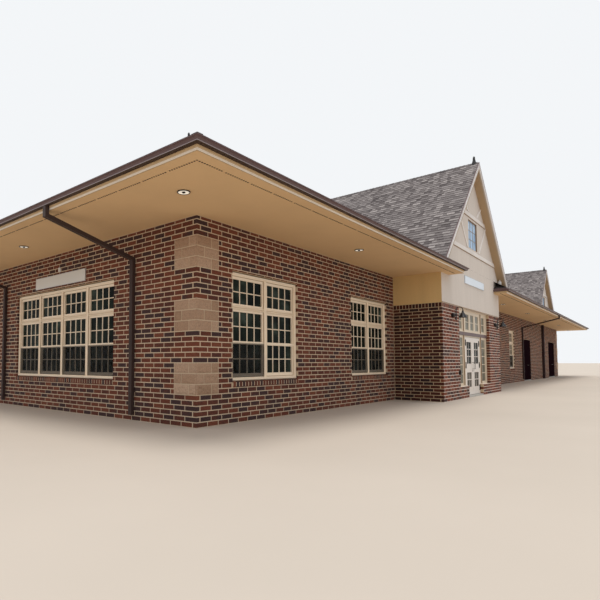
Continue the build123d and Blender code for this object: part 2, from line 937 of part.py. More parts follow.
with BuildPart() as entry_frame:
    with BuildSketch(entry_face):
        area(pavilion_x - entry_half, pavilion_x + entry_half, knee_height, stucco_bottom)
        area(pavilion_x - door_half, pavilion_x + door_half, knee_height, door_head_height, Mode.SUBTRACT)
        for left, width, low, high in entry_lights:
            area(pavilion_x + left, pavilion_x + left + width, low, high, Mode.SUBTRACT)
    extrude(amount=-entry_frame_depth)
    mirror(about=Plane.XZ)
save(entry_frame, "entry_frame")

with BuildPart() as entry_glass:
    with BuildSketch(entry_face.offset(-entry_glass_recess)):
        for left, width, low, high in entry_lights:
            area(pavilion_x + left, pavilion_x + left + width, low, high)
    extrude(amount=-glass_thickness)
    mirror(about=Plane.XZ)
save(entry_glass, "entry_glass")

with BuildPart() as entry_bar:
    with BuildSketch(entry_face):
        area(
            pavilion_x - entry_half,
            pavilion_x + entry_half,
            transom_sill_height - dark_bar_height,
            transom_sill_height,
        )
    extrude(amount=dark_bar_nose)
    mirror(about=Plane.XZ)
save(entry_bar, "entry_bar")

# Entrance door leaves, each hung on knuckles at its outer front corner
leaf_y = pavilion_y + entry_recess
leaf_near = meeting_gap / 2
leaf_far = door_half - door_clearance
leaf_top = door_head_height - head_clearance


def leaf_glazing(mode=Mode.ADD):
    for low, high in (leaf_upper_glass, leaf_lower_glass):
        area(pavilion_x + leaf_near + leaf_stile, pavilion_x + leaf_far - leaf_stile, low, high, mode)


def hinge_knuckles(x, y, heights):
    for height in heights:
        with BuildSketch(Plane.XY.offset(height - hinge_length / 2)) as knuckle:
            with Locations((x, y)):
                RegularPolygon(hinge_radius, 8)
        extrude(knuckle.sketch, amount=hinge_length)


with BuildPart() as entry_leaf_right:
    with BuildSketch(entry_face):
        area(pavilion_x + leaf_near, pavilion_x + leaf_far, leaf_bottom, leaf_top)
        leaf_glazing(Mode.SUBTRACT)
    extrude(amount=-leaf_thickness)
    hinge_knuckles(pavilion_x + leaf_far, leaf_y, hinge_heights)
save(entry_leaf_right, "entry_leaf_right")

with BuildPart() as entry_leaf_right_glass:
    with BuildSketch(entry_face.offset(-(leaf_thickness - glass_thickness) / 2)):
        leaf_glazing()
    extrude(amount=-glass_thickness)
save(entry_leaf_right_glass, "entry_leaf_right_glass")

with BuildPart() as entry_pull_right:
    pull_x = pavilion_x + leaf_near + pull_inset
    grip_y = leaf_y - pull_reach
    with BuildLine() as route:
        Polyline(
            (pull_x, leaf_y, pull_bottom),
            (pull_x, grip_y + pull_bend, pull_bottom),
            (pull_x, grip_y, pull_bottom + pull_bend),
            (pull_x, grip_y, pull_top - pull_bend),
            (pull_x, grip_y + pull_bend, pull_top),
            (pull_x, leaf_y, pull_top),
        )
    with BuildSketch(Plane(origin=(pull_x, leaf_y, pull_bottom), z_dir=(0, -1, 0))) as section:
        RegularPolygon(pull_radius, 8)
    sweep(section.sketch, path=route.wire(), transition=Transition.RIGHT)
save(entry_pull_right, "entry_pull_right")

middle = Plane.YZ.offset(pavilion_x)
with BuildPart() as entry_leaf_left:
    mirror(entry_leaf_right.part, about=middle)
save(entry_leaf_left, "entry_leaf_left")

with BuildPart() as entry_leaf_left_glass:
    mirror(entry_leaf_right_glass.part, about=middle)
save(entry_leaf_left_glass, "entry_leaf_left_glass")

with BuildPart() as entry_pull_left:
    mirror(entry_pull_right.part, about=middle)
save(entry_pull_left, "entry_pull_left")

with BuildPart() as rear_entry_doors:
    with BuildSketch(entry_face):
        area(pavilion_x + leaf_near, pavilion_x + door_half, leaf_bottom, leaf_top)
        leaf_glazing(Mode.SUBTRACT)
    extrude(amount=-leaf_thickness)
    mirror(about=middle)
    mirror(about=Plane.XZ, mode=Mode.REPLACE)
save(rear_entry_doors, "rear_entry_doors")

with BuildPart() as rear_entry_glass:
    mirror(entry_leaf_right_glass.part, about=Plane.XZ)
    mirror(entry_leaf_left_glass.part, about=Plane.XZ)
save(rear_entry_glass, "rear_entry_door_glass")

# Service doors, flush pairs in steel frames
service_face = front_plane.offset(-service_recess)
with BuildPart() as service_door_frames:
    with BuildSketch(service_face):
        for left, right, height in doorways:
            area(left, right, floor_top, height)
            area(
                left + service_frame_width,
                right - service_frame_width,
                floor_top,
                height - service_frame_width,
                Mode.SUBTRACT,
            )
    extrude(amount=-service_frame_depth)
save(service_door_frames, "service_door_frames")

for number, (left, right, height) in enumerate(doorways, 1):
    for side, name in ((-1, "left"), (1, "right")):
        centre = (left + right) / 2
        half = (right - left) / 2 - service_frame_width
        near = centre + side * meeting_gap / 2
        far = centre + side * (half - door_clearance)
        leaf_head = height - service_frame_width - head_clearance
        with BuildPart() as service_leaf:
            with BuildSketch(service_face):
                area(min(near, far), max(near, far), leaf_bottom, leaf_head)
            extrude(amount=-leaf_thickness)
            knuckle_heights = [leaf_head * share for share in service_hinge_shares]
            hinge_knuckles(far, front_y + service_recess, knuckle_heights)
            if side > 0:
                lever_x = near + lever_inset
                with BuildSketch(Plane.XZ.offset(-front_y - service_recess)) as rose:
                    with Locations((lever_x, lever_height)):
                        Circle(rose_radius)
                extrude(rose.sketch, amount=lever_radius)
                arm_y = front_y + service_recess - lever_reach
                block(
                    lever_x - lever_radius,
                    lever_x + lever_radius,
                    arm_y,
                    front_y + service_recess,
                    lever_height - lever_radius,
                    lever_height + lever_radius,
                )
                block(
                    lever_x - lever_radius,
                    lever_x + lever_length,
                    arm_y - lever_radius,
                    arm_y + lever_radius,
                    lever_height - lever_radius,
                    lever_height + lever_radius,
                )
        save(service_leaf, f"service_leaf_{number}_{name}")

# Eight-sided finials on the ridge ends
def finial(x, y, z, height):
    steps = (
        (-finial_base_radius, finial_base_radius, finial_cone_height, finial_neck_radius),
        (finial_cone_height, finial_neck_radius, height - finial_tip_height, finial_cap_radius),
        (height - finial_tip_height, finial_cap_radius, height, finial_tip_radius),
    )
    for low, low_radius, high, high_radius in steps:
        with BuildSketch(Plane.XY.offset(z + low)) as ring:
            with Locations((x, y)):
                RegularPolygon(low_radius, finial_facets)
        lean = degrees(atan2((low_radius - high_radius) * cos(pi / finial_facets), high - low))
        extrude(ring.sketch, amount=high - low, taper=lean)


def under_cross_roof(x, y):
    """What stands under a cross gable's slopes near its ridge, to be taken away."""
    spread = (gable_ridge_height - eave_top_height) / gable_slope
    with BuildSketch(Plane.XZ.offset(-y)) as ridge:
        with BuildLine():
            Polyline(
                (x, gable_ridge_height),
                (x + spread, gable_ridge_height - gable_slope * spread),
                (x - spread, gable_ridge_height - gable_slope * spread),
                close=True,
            )
        make_face()
    extrude(ridge.sketch, amount=2 * finial_base_radius, both=True, mode=Mode.SUBTRACT)


with BuildPart() as gable_finials:
    for x, y in gable_faces:
        stand_y = y - rake_overhang + finial_base_radius
        finial(x, stand_y, gable_ridge_height, gable_finial_height)
        under_cross_roof(x, stand_y)
    mirror(about=Plane.XZ)
save(gable_finials, "gable_finials")

with BuildPart() as hip_finials:
    finial(west_x + hip_setback + finial_base_radius, 0, ridge_height, hip_finial_height)
    under_long_roof()
    mirror(about=Plane.YZ)
    under_cross_roof(far_gable_x, 0)
save(hip_finials, "hip_finials")

# Rainwater pipes from the gutters to the ground
def rain_pipe(face, along):
    side = Plane(origin=face.from_local_coords((along, 0, 0)), x_dir=face.z_dir, z_dir=-face.x_dir)
    outlet = eave_overhang + gutter_foot_width / 2
    seat = pipe_wall_gap + pipe_depth / 2
    corners = [
        (outlet, gutter_bottom_height),
        (outlet, gutter_bottom_height - pipe_drop),
        (seat, pipe_knee_height),
        (seat, pipe_foot_height),
    ]
    with BuildLine() as route:
        Polyline(*[side.from_local_coords((u, v, 0)) for u, v in corners])
    top = side.from_local_coords((corners[0][0], corners[0][1], 0))
    with BuildSketch(Plane(origin=top, x_dir=face.x_dir, z_dir=(0, 0, -1))) as section:
        Rectangle(pipe_width, pipe_depth)
    sweep(section.sketch, path=route.wire(), transition=Transition.RIGHT)


with BuildPart() as rain_pipes:
    rain_pipe(west_face, -front_y - end_pipe_offset)
    rain_pipe(east_face, front_y + end_pipe_offset)
    rain_pipe(front_face, east_x - front_pipe_inset)
    mirror(about=Plane.XZ)
save(rain_pipes, "rain_pipes")

# Pipe casing on the long wall
chase_x = east_x - chase_inset
with BuildPart() as pipe_casing:
    block(
        chase_x,
        chase_x + chase_width,
        front_y - chase_depth,
        front_y,
        0,
        soffit_height,
    )
save(pipe_casing, "pipe_casing")

# Swan-neck lamps on the pavilion
with BuildPart() as barn_lamps:
    for x in (pavilion_west + lamp_inset, pavilion_east - far_lamp_inset):
        with BuildLine() as route:
            FilletPolyline(
                (x, pavilion_y - lamp_arm_gap, lamp_foot_height),
                (x, pavilion_y - lamp_arm_gap, lamp_bend_height),
                (x, pavilion_y - lamp_reach, lamp_bend_height),
                (x, pavilion_y - lamp_reach, lamp_shade_top),
                radius=lamp_bend,
            )
        with BuildSketch(Plane.XY.offset(lamp_foot_height)) as section:
            with Locations((x, pavilion_y - lamp_arm_gap)):
                RegularPolygon(lamp_arm_radius, 8)
        sweep(section.sketch, path=route.wire())
        with BuildSketch(pavilion_plane) as plate:
            with Locations((x, lamp_foot_height + lamp_plate_radius)):
                Circle(lamp_plate_radius)
        extrude(plate.sketch, amount=lamp_arm_gap)
        shade_plane = Plane(origin=(x, pavilion_y - lamp_reach, 0), x_dir=(1, 0, 0), z_dir=(0, -1, 0))
        cone_top = lamp_shade_top - lamp_neck_radius
        with BuildSketch(shade_plane) as shade:
            with BuildLine():
                Polyline(
                    (0, lamp_shade_top),
                    (lamp_neck_radius, lamp_shade_top),
                    (lamp_neck_radius, cone_top),
                    (lamp_shade_radius, lamp_shade_rim),
                    (lamp_shade_radius - lamp_shade_wall, lamp_shade_rim),
                    (0, cone_top - lamp_shade_wall),
                    close=True,
                )
            make_face()
        revolve(shade.sketch, axis=Axis((x, pavilion_y - lamp_reach, 0), (0, 0, 1)))
save(barn_lamps, "barn_lamps")

# Round wall bells, the door buzzer and the lamp beside the pipe casing
with BuildPart() as wall_fittings:
    for x in (pavilion_west + bell_inset, pavilion_east - far_bell_inset):
        with BuildSketch(pavilion_plane) as bell:
            with Locations((x, bell_height)):
                Circle(bell_radius)
        extrude(bell.sketch, amount=bell_depth)
        chamfer(wall_fittings.faces().sort_by(Axis.Y)[0].edges(), length=bell_bevel)
    buzzer_x = pavilion_x - entry_half - buzzer_inset
    block(
        buzzer_x,
        buzzer_x + buzzer_width,
        pavilion_y - buzzer_depth,
        pavilion_y,
        buzzer_height - buzzer_width / 2,
        buzzer_height + buzzer_width,
    )
    with BuildSketch(front_plane) as lamp:
        with Locations((chase_x + chase_width + chase_lamp_radius, chase_lamp_height)):
            Circle(chase_lamp_radius)
    extrude(lamp.sketch, amount=chase_depth)
save(wall_fittings, "wall_fittings")

# Round lights under the eaves, as rings of many sides
with BuildPart() as soffit_lights:
    spots = [(west_x + offset, front_y - downlight_line) for offset in downlight_offsets]
    for side in (-1, 1):
        spots.append((side * (east_x + corner_downlight[0]), front_y - corner_downlight[1]))
        spots.append((side * (east_x + downlight_line), 0))
    with BuildSketch(Plane.XY.offset(soffit_height)) as discs:
        with Locations(*spots):
            RegularPolygon(downlight_radius, 16)
    extrude(discs.sketch, amount=-downlight_depth)
    with BuildSketch(Plane.XY.offset(soffit_height - downlight_depth)) as lenses:
        with Locations(*spots):
            RegularPolygon(downlight_lens_radius, 16)
    extrude(lenses.sketch, amount=downlight_lens_depth, mode=Mode.SUBTRACT)
save(soffit_lights, "soffit_lights")
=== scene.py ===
from collections import namedtuple
from itertools import product
from math import ceil, cos, hypot, pi, radians, sin
from random import Random

import bmesh
import bpy
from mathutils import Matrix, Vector


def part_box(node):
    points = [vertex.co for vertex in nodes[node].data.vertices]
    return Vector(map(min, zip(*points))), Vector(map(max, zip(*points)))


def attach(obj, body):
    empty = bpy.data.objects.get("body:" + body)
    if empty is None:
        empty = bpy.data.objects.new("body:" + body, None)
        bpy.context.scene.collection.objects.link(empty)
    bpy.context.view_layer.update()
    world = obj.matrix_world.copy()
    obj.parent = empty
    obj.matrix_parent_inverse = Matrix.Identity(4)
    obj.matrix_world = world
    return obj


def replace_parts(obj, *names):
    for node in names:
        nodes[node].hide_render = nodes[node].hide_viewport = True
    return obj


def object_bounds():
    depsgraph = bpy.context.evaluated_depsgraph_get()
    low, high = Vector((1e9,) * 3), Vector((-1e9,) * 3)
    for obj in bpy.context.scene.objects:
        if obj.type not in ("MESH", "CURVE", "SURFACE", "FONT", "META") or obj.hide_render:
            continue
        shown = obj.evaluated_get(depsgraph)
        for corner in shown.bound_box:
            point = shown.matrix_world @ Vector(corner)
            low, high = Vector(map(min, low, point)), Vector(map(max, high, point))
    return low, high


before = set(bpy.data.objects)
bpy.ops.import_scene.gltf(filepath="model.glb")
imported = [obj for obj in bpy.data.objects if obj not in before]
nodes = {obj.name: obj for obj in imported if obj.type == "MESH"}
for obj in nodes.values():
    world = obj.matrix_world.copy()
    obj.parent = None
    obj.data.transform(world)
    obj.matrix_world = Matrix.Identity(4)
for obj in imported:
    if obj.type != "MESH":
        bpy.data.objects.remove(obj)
cad_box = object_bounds()
up = Vector((0, 0, 1))

# The walls, in metres: the building stands along X with its front towards -Y
wall_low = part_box("west_wall")[0]
end_x, side_y = -wall_low.x, -wall_low.y
wall_depth = 0.15
soffit_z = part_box("eave_soffits_long")[0].z
fascia_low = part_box("fascia_boards")[0]
fascia_x, fascia_y = -fascia_low.x, -fascia_low.y
pier_low, pier_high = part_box("pavilion_piers")
pavilion_west, pavilion_east = pier_low.x, pier_high.x
pavilion_x = (pavilion_west + pavilion_east) / 2
pavilion_y = -pier_low.y
pavilion_brick_top = pier_high.z
entry_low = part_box("entry_frame")[0]
entry_half = pavilion_x - entry_low.x
knee_wall_top = entry_low.z
door_gap_half = 0.4625
# A hair's breadth keeps two faces from lying in one plane
hair = 0.001

# Bricks: the course, the length along it and the depth into the wall, with the mortar joint between them
course = 0.0508
module = 0.1524
header = 0.0508
joint = 0.0095
proud = 0.0016
brick_edge = 0.0012
brick_wander = 0.0004
thinnest_cut = 0.014
shortest_cut = 1.5 * thinnest_cut
rowlock_height = 1.45 * course

# Quoins of split-face blocks, and how far openings reach into the brickwork
quoin_width = 0.3048
quoin_height = 0.3048
quoin_rows = 3
quoin_levels = (0.3048, 0.9144, 1.5240)
quoin_bed = (-0.006, 0.0015)
bed_back = -0.004
block_face, block_margin = 0.008, 0.004
split_step, split_depth, split_range = 0.017, 0.006, (-0.35, 1.0)
frame_back = 0.036
reveal_depth = frame_back - hair
entry_reveal = 0.055
door_reveal = 0.004

# Windows: the opening, its frame and its sashes, measured from the wall's face
sill_z = 7 * course
brick_sill_top, head_z = (corner.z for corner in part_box("window_frames"))
double_width, single_width = 1.202, 0.675
sash_back = 0.044
glass_back = 0.062
jamb = 0.034
mullion = 0.044
stile = 0.026
front_windows = [(x, double_width) for x in (-10.6072, -8.0232, -2.5792)] + [(1.8748, single_width)]
rear_windows = front_windows + [(5.4748, double_width)]
end_window_half = 1.165
end_units = 4
glass_fields = [(0.498, 0.804), (0.837, 1.144), (1.227, 1.483)]
meeting_rail = (0.810, 0.833)
transom_rail = (1.144, 1.227)
service_doors = [(3.9168, 5.0668, 1.365), (8.7758, 10.2158, 1.420)]

# The roof: height at the fascia, rise for each metre of run, and where the eaves stop at the pavilion
eave_z = 2.130
long_rise, hip_rise, gable_rise = 0.6113, 0.6589, 1.0283
ridge_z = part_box("roof_front_slope")[1].z
ridge_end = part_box("roof_hip_east")[0].x
gable_ridge_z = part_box("gable_roof_west_slopes")[1].z
return_west, return_east = -6.150, -3.2504
roof_drip = 0.010
rake_overhang = 0.114
barge_thickness = 0.020
# Each cross gable: its middle, its front and its run from the ridge to the eave
far_gable_x, far_gable_y = 8.4978, 2.4165
gables = [(pavilion_x, pavilion_y, 2.0333), (far_gable_x, far_gable_y, 1.5411)]

FRONT, REAR, WEST, EAST = "front", "rear", "west", "east"
ways = {FRONT: (0, -1, 0), REAR: (0, 1, 0), WEST: (-1, 0, 0), EAST: (1, 0, 0)}
outward = {side: Vector(way) for side, way in ways.items()}
half_length = {FRONT: end_x, REAR: end_x, WEST: side_y, EAST: side_y}

# Every window: its side, its two ends along the wall and its number of units
windows = [
    (side, x, x + width, 2 if width == double_width else 1)
    for side, places in ((FRONT, front_windows), (REAR, rear_windows))
    for x, width in places
]
windows += [(side, -end_window_half, end_window_half, end_units) for side in (WEST, EAST)]


class Wall:
    """An upright plane: u runs along it from its middle, z is height, and w is the way out of it."""

    def __init__(self, side, distance):
        self.out = outward[side]
        self.along = Vector((1, 0, 0)) if self.out.y else Vector((0, 1, 0))
        self.origin = self.out * distance

    def at(self, u, z, w=0.0):
        return self.origin + self.along * u + self.out * w + up * z

    def corners(self, u, z, w):
        """The corners of a rectangle, one after another."""
        return [self.at(a, b, w) for a, b in ((u[0], z[0]), (u[1], z[0]), (u[1], z[1]), (u[0], z[1]))]


walls = {side: Wall(side, side_y if side in (FRONT, REAR) else end_x) for side in outward}


def placed(name, data):
    obj = bpy.data.objects.new(name, data)
    bpy.context.scene.collection.objects.link(obj)
    return obj


class Heap:
    """Corners and faces of one mesh. A corner has a tone, and a shingle's corner a rise from butt to top."""

    def __init__(self):
        self.corners, self.faces, self.tones, self.rises = [], [], [], []

    def add(self, corners, faces, tone=0.5, rises=None):
        start = len(self.corners)
        self.corners.extend(tuple(c) for c in corners)
        self.faces.extend(tuple(start + i for i in face) for face in faces)
        self.tones.extend([tone] * len(corners))
        self.rises.extend(rises or [0.5] * len(corners))

    def loft(self, rings, tone=0.5, rises=None):
        """Rings of corners joined by quads, with flat ends."""
        count = len(rings[0])
        last = (len(rings) - 1) * count
        faces = []
        for r in range(0, last, count):
            for i in range(count):
                j = (i + 1) % count
                faces.append((r + i, r + j, r + count + j, r + count + i))
        faces.append(tuple(reversed(range(count))))
        faces.append(tuple(range(last, last + count)))
        self.add([c for ring in rings for c in ring], faces, tone, rises)

    def piece(self, name, finish, slot, body="building"):
        """The finished piece, with every face turned outward."""
        mesh = bpy.data.meshes.new(name)
        mesh.from_pydata(self.corners, [], self.faces)
        for label, values in (("tone", self.tones), ("rise", self.rises)):
            mesh.attributes.new(label, "FLOAT", "POINT").data.foreach_set("value", values)
        mesh.materials.append(finishes[finish])
        work = bmesh.new()
        work.from_mesh(mesh)
        bmesh.ops.recalc_face_normals(work, faces=work.faces)
        work.to_mesh(mesh)
        work.free()
        obj = placed(name, mesh)
        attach(obj, body)
        return obj


def about(middle, half):
    return middle - half, middle + half


def grown(ends, by):
    return ends[0] - by, ends[1] + by


def span(side, near, far, middle=0.0):
    """A rising pair from near to far on one side of a middle: side is -1 or 1."""
    return sorted((middle + side * near, middle + side * far))


def part_way(ends, index, count):
    return ends[0] + (ends[1] - ends[0]) * index / count


def slab(heap, wall, u, z, w, edge=0.0, tone=0.5):
    """A block on a wall over u and z, from w[0] at its back to w[1] at its face, whose edges are bevelled."""
    rings = [wall.corners(u, z, w[0]), wall.corners(u, z, w[1] - edge)]
    if edge:
        rings.append(wall.corners(grown(u, -edge), grown(z, -edge), w[1]))
    heap.loft(rings, tone)


def flat_bar(heap, x, y, z):
    rings = [[(i, j, k) for i, j in ((x[0], y[0]), (x[1], y[0]), (x[1], y[1]), (x[0], y[1]))] for k in z]
    heap.loft(rings)


def board(low, high, back, face):
    """A square-edged profile, as (across, out) points."""
    return [(low, back), (low, face), (high, face), (high, back)]


def strip(heap, start, end, across, out, profile, mitre=(0.0, 0.0)):
    """A moulding with a profile of (across, out) points. mitre slopes each end by its share of across."""
    way = (end - start).normalized()
    rings = []
    for point, slope in ((start, mitre[0]), (end, mitre[1])):
        rings.append([point + way * (slope * a) + across * a + out * d for a, d in profile])
    heap.loft(rings)


def surround(heap, wall, u, z, profile, w=0.0):
    """A mitred moulding round a rectangle of a wall. Its profile runs inward from the rectangle's edge."""
    corners = wall.corners(u, z, w)
    for i, inward in enumerate((up, -wall.along, -up, wall.along)):
        strip(heap, corners[i], corners[(i + 1) % 4], inward, wall.out, profile, (1.0, -1.0))


def turned(heap, centre, axis, steps, sides):
    """A turned shape: steps are (distance along the axis, radius)."""
    first = axis.cross(Vector((1, 0, 0)) if axis.z else up).normalized()
    second = axis.cross(first)
    turns = [2 * pi * i / sides for i in range(sides)]
    rings = []
    for distance, radius in steps:
        rings.append([centre + axis * distance + (first * cos(a) + second * sin(a)) * radius for a in turns])
    heap.loft(rings)


# Finishes

finishes = {}


class Nodes:
    """A node tree, with short ways to fill it."""

    def __init__(self, tree):
        self.tree = tree

    def give(self, node, inputs):
        """Sets sockets of a node, by name or number, to a value or links them to another node's output."""
        for key, value in inputs.items():
            if isinstance(value, bpy.types.NodeSocket):
                self.tree.links.new(value, node.inputs[key])
            else:
                node.inputs[key].default_value = value

    def node(self, kind, inputs=None, **settings):
        made = self.tree.nodes.new(kind)
        for key, value in settings.items():
            setattr(made, key, value)
        self.give(made, inputs or {})
        return made

    def maths(self, operation, first, second):
        return self.node("ShaderNodeMath", {0: first, 1: second}, operation=operation).outputs["Value"]


class Finish(Nodes):
    """A procedural material round one principled shader."""

    def __init__(self, name, roughness, metallic=0.0, specular=0.5):
        finishes[name] = bpy.data.materials.new(name)
        finishes[name].use_nodes = True
        super().__init__(finishes[name].node_tree)
        self.shader = self.tree.nodes["Principled BSDF"]
        self.give(self.shader, {"Roughness": roughness, "Metallic": metallic, "Specular IOR Level": specular})
        self.place = self.node("ShaderNodeTexCoord").outputs["Object"]

    def noise(self, scale, detail=4.0, stretch=(1, 1, 1), rough=0.55):
        place = self.node("ShaderNodeMapping", {"Vector": self.place, "Scale": stretch}).outputs["Vector"]
        values = {"Vector": place, "Scale": scale, "Detail": detail, "Roughness": rough}
        return self.node("ShaderNodeTexNoise", values).outputs["Fac"]

    def number(self, label):
        """A number that each corner of the mesh carries."""
        return self.node("ShaderNodeAttribute", attribute_name=label).outputs["Fac"]

    def drifting_tone(self, scale, amount):
        """Each corner's tone, which a coarse noise moves a little up and down."""
        drift = self.maths("MULTIPLY", self.maths("SUBTRACT", self.noise(scale, 3.0), 0.5), amount)
        return self.maths("ADD", self.number("tone"), drift)

    def ramp(self, source, *stops):
        """Colours by the level of a texture: each stop is (level, colour)."""
        made = self.node("ShaderNodeValToRGB", {"Fac": source})
        elements = made.color_ramp.elements
        while len(elements) < len(stops):
            elements.new(0.5)
        for element, (level, colour) in zip(elements, stops):
            element.position = level
            element.color = (*colour, 1.0)
        return made.outputs["Color"]

    def two_tone(self, source, dark, light, low=0.3, high=0.7):
        return self.ramp(source, (low, dark), (high, light))

    def multiplied(self, share, base, shade):
        inputs = {0: share, 6: base, 7: shade}
        return self.node("ShaderNodeMix", inputs, data_type="RGBA", blend_type="MULTIPLY").outputs[2]

    def colour(self, source):
        self.give(self.shader, {"Base Color": source})

    def bump(self, source, distance, strength):
        made = self.node("ShaderNodeBump", {"Height": source, "Distance": distance, "Strength": strength})
        self.give(self.shader, {"Normal": made.outputs["Normal"]})


def grey(level):
    return (level, level, level)


def shaded(colour, share):
    return tuple(c * share for c in colour)


def brick_finish(name, plum, umber, red, rust):
    f = Finish(name, 0.85, specular=0.2)
    tones = ((0.0, plum), (0.20, shaded(plum, 1.1)), (0.30, umber), (0.66, red), (1.0, rust))
    body = f.ramp(f.drifting_tone(9.0, 0.45), *tones)
    grain = f.noise(70.0, 6.0, (1, 1, 2.2))
    flecks = f.ramp(grain, (0.30, (0.60, 0.58, 0.60)), (0.52, grey(1.0)), (0.75, (1.4, 1.35, 1.3)))
    f.colour(f.multiplied(1.0, body, flecks))
    f.bump(grain, 0.0016, 0.8)


def mortar_finish(name, colour):
    f = Finish(name, 0.95, specular=0.15)
    body = f.two_tone(f.noise(3.0, 5.0), shaded(colour, 0.91), shaded(colour, 1.09), 0.25, 0.75)
    sand = f.noise(300.0, 4.0)
    f.colour(f.multiplied(0.8, body, f.two_tone(sand, (0.75, 0.73, 0.70), (1.05, 1.04, 1.02), 0.3, 0.6)))
    f.bump(sand, 0.001, 0.7)


def plaster_finish():
    f = Finish("plaster", 0.9, specular=0.2)
    f.colour(f.two_tone(f.noise(2.0), (0.60, 0.56, 0.48), (0.68, 0.64, 0.56)))
    f.bump(f.noise(90.0, 5.0), 0.0008, 0.5)


def concrete_finish():
    f = Finish("concrete", 0.85, specular=0.25)
    f.colour(f.two_tone(f.noise(2.2, 6.0), (0.38, 0.36, 0.33), (0.50, 0.48, 0.44), 0.25, 0.75))
    f.bump(f.noise(120.0, 5.0), 0.0008, 0.6)


def stucco_finish(name, colour):
    f = Finish(name, 0.92, specular=0.2)
    drips = f.noise(5.0, 5.0, (1.6, 1.6, 0.18))
    wall = f.ramp(drips, (0.25, shaded(colour, 0.94)), (0.6, colour), (0.9, shaded(colour, 1.05)))
    float_marks = f.noise(150.0, 6.0)
    f.colour(f.multiplied(0.30, wall, f.two_tone(float_marks, grey(0.75), grey(1.0))))
    f.bump(float_marks, 0.002, 0.75)


def stone_finish():
    f = Finish("cast_stone", 0.9, specular=0.2)
    tones = ((0.0, (0.335, 0.215, 0.140)), (0.5, (0.400, 0.265, 0.180)), (1.0, (0.475, 0.335, 0.240)))
    grit = f.noise(85.0, 7.0, rough=0.75)
    specks = f.ramp(grit, (0.30, (0.42, 0.39, 0.36)), (0.47, (0.95, 0.94, 0.92)),
                    (0.60, (1.08, 1.06, 1.04)), (0.78, (1.5, 1.45, 1.4)))
    f.colour(f.multiplied(0.85, f.ramp(f.number("tone"), *tones), specks))
    f.bump(grit, 0.003, 0.9)


def shingle_finish():
    f = Finish("shingle", 0.95, specular=0.15)
    body = f.ramp(f.drifting_tone(14.0, 0.12), (0.05, (0.080, 0.069, 0.070)), (0.30, (0.150, 0.131, 0.129)),
                  (0.62, (0.255, 0.228, 0.222)), (1.0, (0.380, 0.344, 0.330)))
    shadow = f.ramp(f.number("rise"), (0.0, (0.50, 0.47, 0.47)), (0.06, grey(1.0)), (0.66, grey(1.0)),
                    (0.86, (0.42, 0.40, 0.40)))
    granules = f.noise(420.0, 2.0, rough=0.8)
    speckled = f.multiplied(0.9, body, f.two_tone(granules, grey(0.55), grey(1.4)))
    f.colour(f.multiplied(1.0, speckled, shadow))
    f.bump(granules, 0.0015, 0.9)


def paint_finish(name, colour, roughness=0.5, weathering=0.12, specular=0.4, grain=0.0004):
    """Painted boards or metal: a little darker where dust lies, with fine brush or roller marks."""
    f = Finish(name, roughness, specular=specular)
    dusty, clean = shaded(colour, 1 - weathering), shaded(colour, 1 + weathering / 2)
    f.colour(f.ramp(f.noise(1.6, 5.0), (0.25, dusty), (0.55, colour), (0.85, clean)))
    marks = f.noise(160.0, 3.0)
    levels = {"Value": marks, "To Min": roughness * 0.9, "To Max": min(1.0, roughness * 1.15)}
    f.give(f.shader, {"Roughness": f.node("ShaderNodeMapRange", levels).outputs["Result"]})
    f.bump(marks, grain, 0.6)


def glass_finish(name, deep, dim, bright, refraction=1.10):
    """Glass whose colour is painted with the shade of unlit rooms behind it: nearly dark, with dim painted
    shapes.
    """
    f = Finish(name, 0.05)
    f.colour(f.ramp(f.noise(4.2, 4.0, (1.0, 1.0, 0.8)), (0.40, deep), (0.54, dim), (0.68, bright)))
    f.bump(f.noise(3.0, 2.0), 0.004, 0.25)
    f.give(f.shader, {"IOR": refraction})


def screen_finish():
    """A fine insect mesh, which is partly seen through."""
    f = Finish("insect_mesh", 0.8, specular=0.1)
    f.colour(f.two_tone(f.noise(30.0), (0.013, 0.014, 0.014), (0.026, 0.027, 0.027)))
    clear = f.node("ShaderNodeBsdfTransparent").outputs["BSDF"]
    weave = f.node("ShaderNodeMixShader", {"Fac": 0.35, 1: clear, 2: f.shader.outputs["BSDF"]})
    f.give(f.tree.nodes["Material Output"], {"Surface": weave.outputs["Shader"]})


def metal_finish(name, colour, roughness):
    f = Finish(name, roughness, metallic=1.0)
    brushed = f.noise(140.0, 4.0, (1, 1, 8))
    f.colour(f.two_tone(brushed, shaded(colour, 0.85), colour))
    f.bump(brushed, 0.0002, 0.5)


def light_finish():
    f = Finish("opal_light", 0.35)
    f.colour(f.two_tone(f.noise(60.0), (0.80, 0.76, 0.68), (0.88, 0.85, 0.78)))
    f.give(f.shader, {"Emission Color": (1.0, 0.93, 0.80, 1.0), "Emission Strength": 0.35})


# Three copies of the brick: the plain one, a lighter copy for the piers in painted sunlight, and a darker
# copy for the pavilion's sides in painted shade
brick_finish("brick", (0.052, 0.028, 0.027), (0.092, 0.032, 0.022), (0.134, 0.041, 0.025),
             (0.175, 0.056, 0.031))
brick_finish("shaded_side_brick", (0.028, 0.014, 0.014), (0.046, 0.015, 0.011), (0.068, 0.019, 0.012),
             (0.090, 0.027, 0.015))
brick_finish("sunlit_pier_brick", (0.066, 0.033, 0.029), (0.118, 0.037, 0.024), (0.172, 0.049, 0.028),
             (0.220, 0.067, 0.036))
# Mortar likewise: the piers' copy is lighter with painted sunlight, the sides' copy darker with painted shade
mortar_finish("mortar", (0.600, 0.475, 0.345))
mortar_finish("sunlit_pier_mortar", (0.750, 0.650, 0.560))
mortar_finish("shaded_side_mortar", (0.545, 0.410, 0.270))
plaster_finish()
concrete_finish()
stucco_finish("stucco", (0.670, 0.603, 0.543))
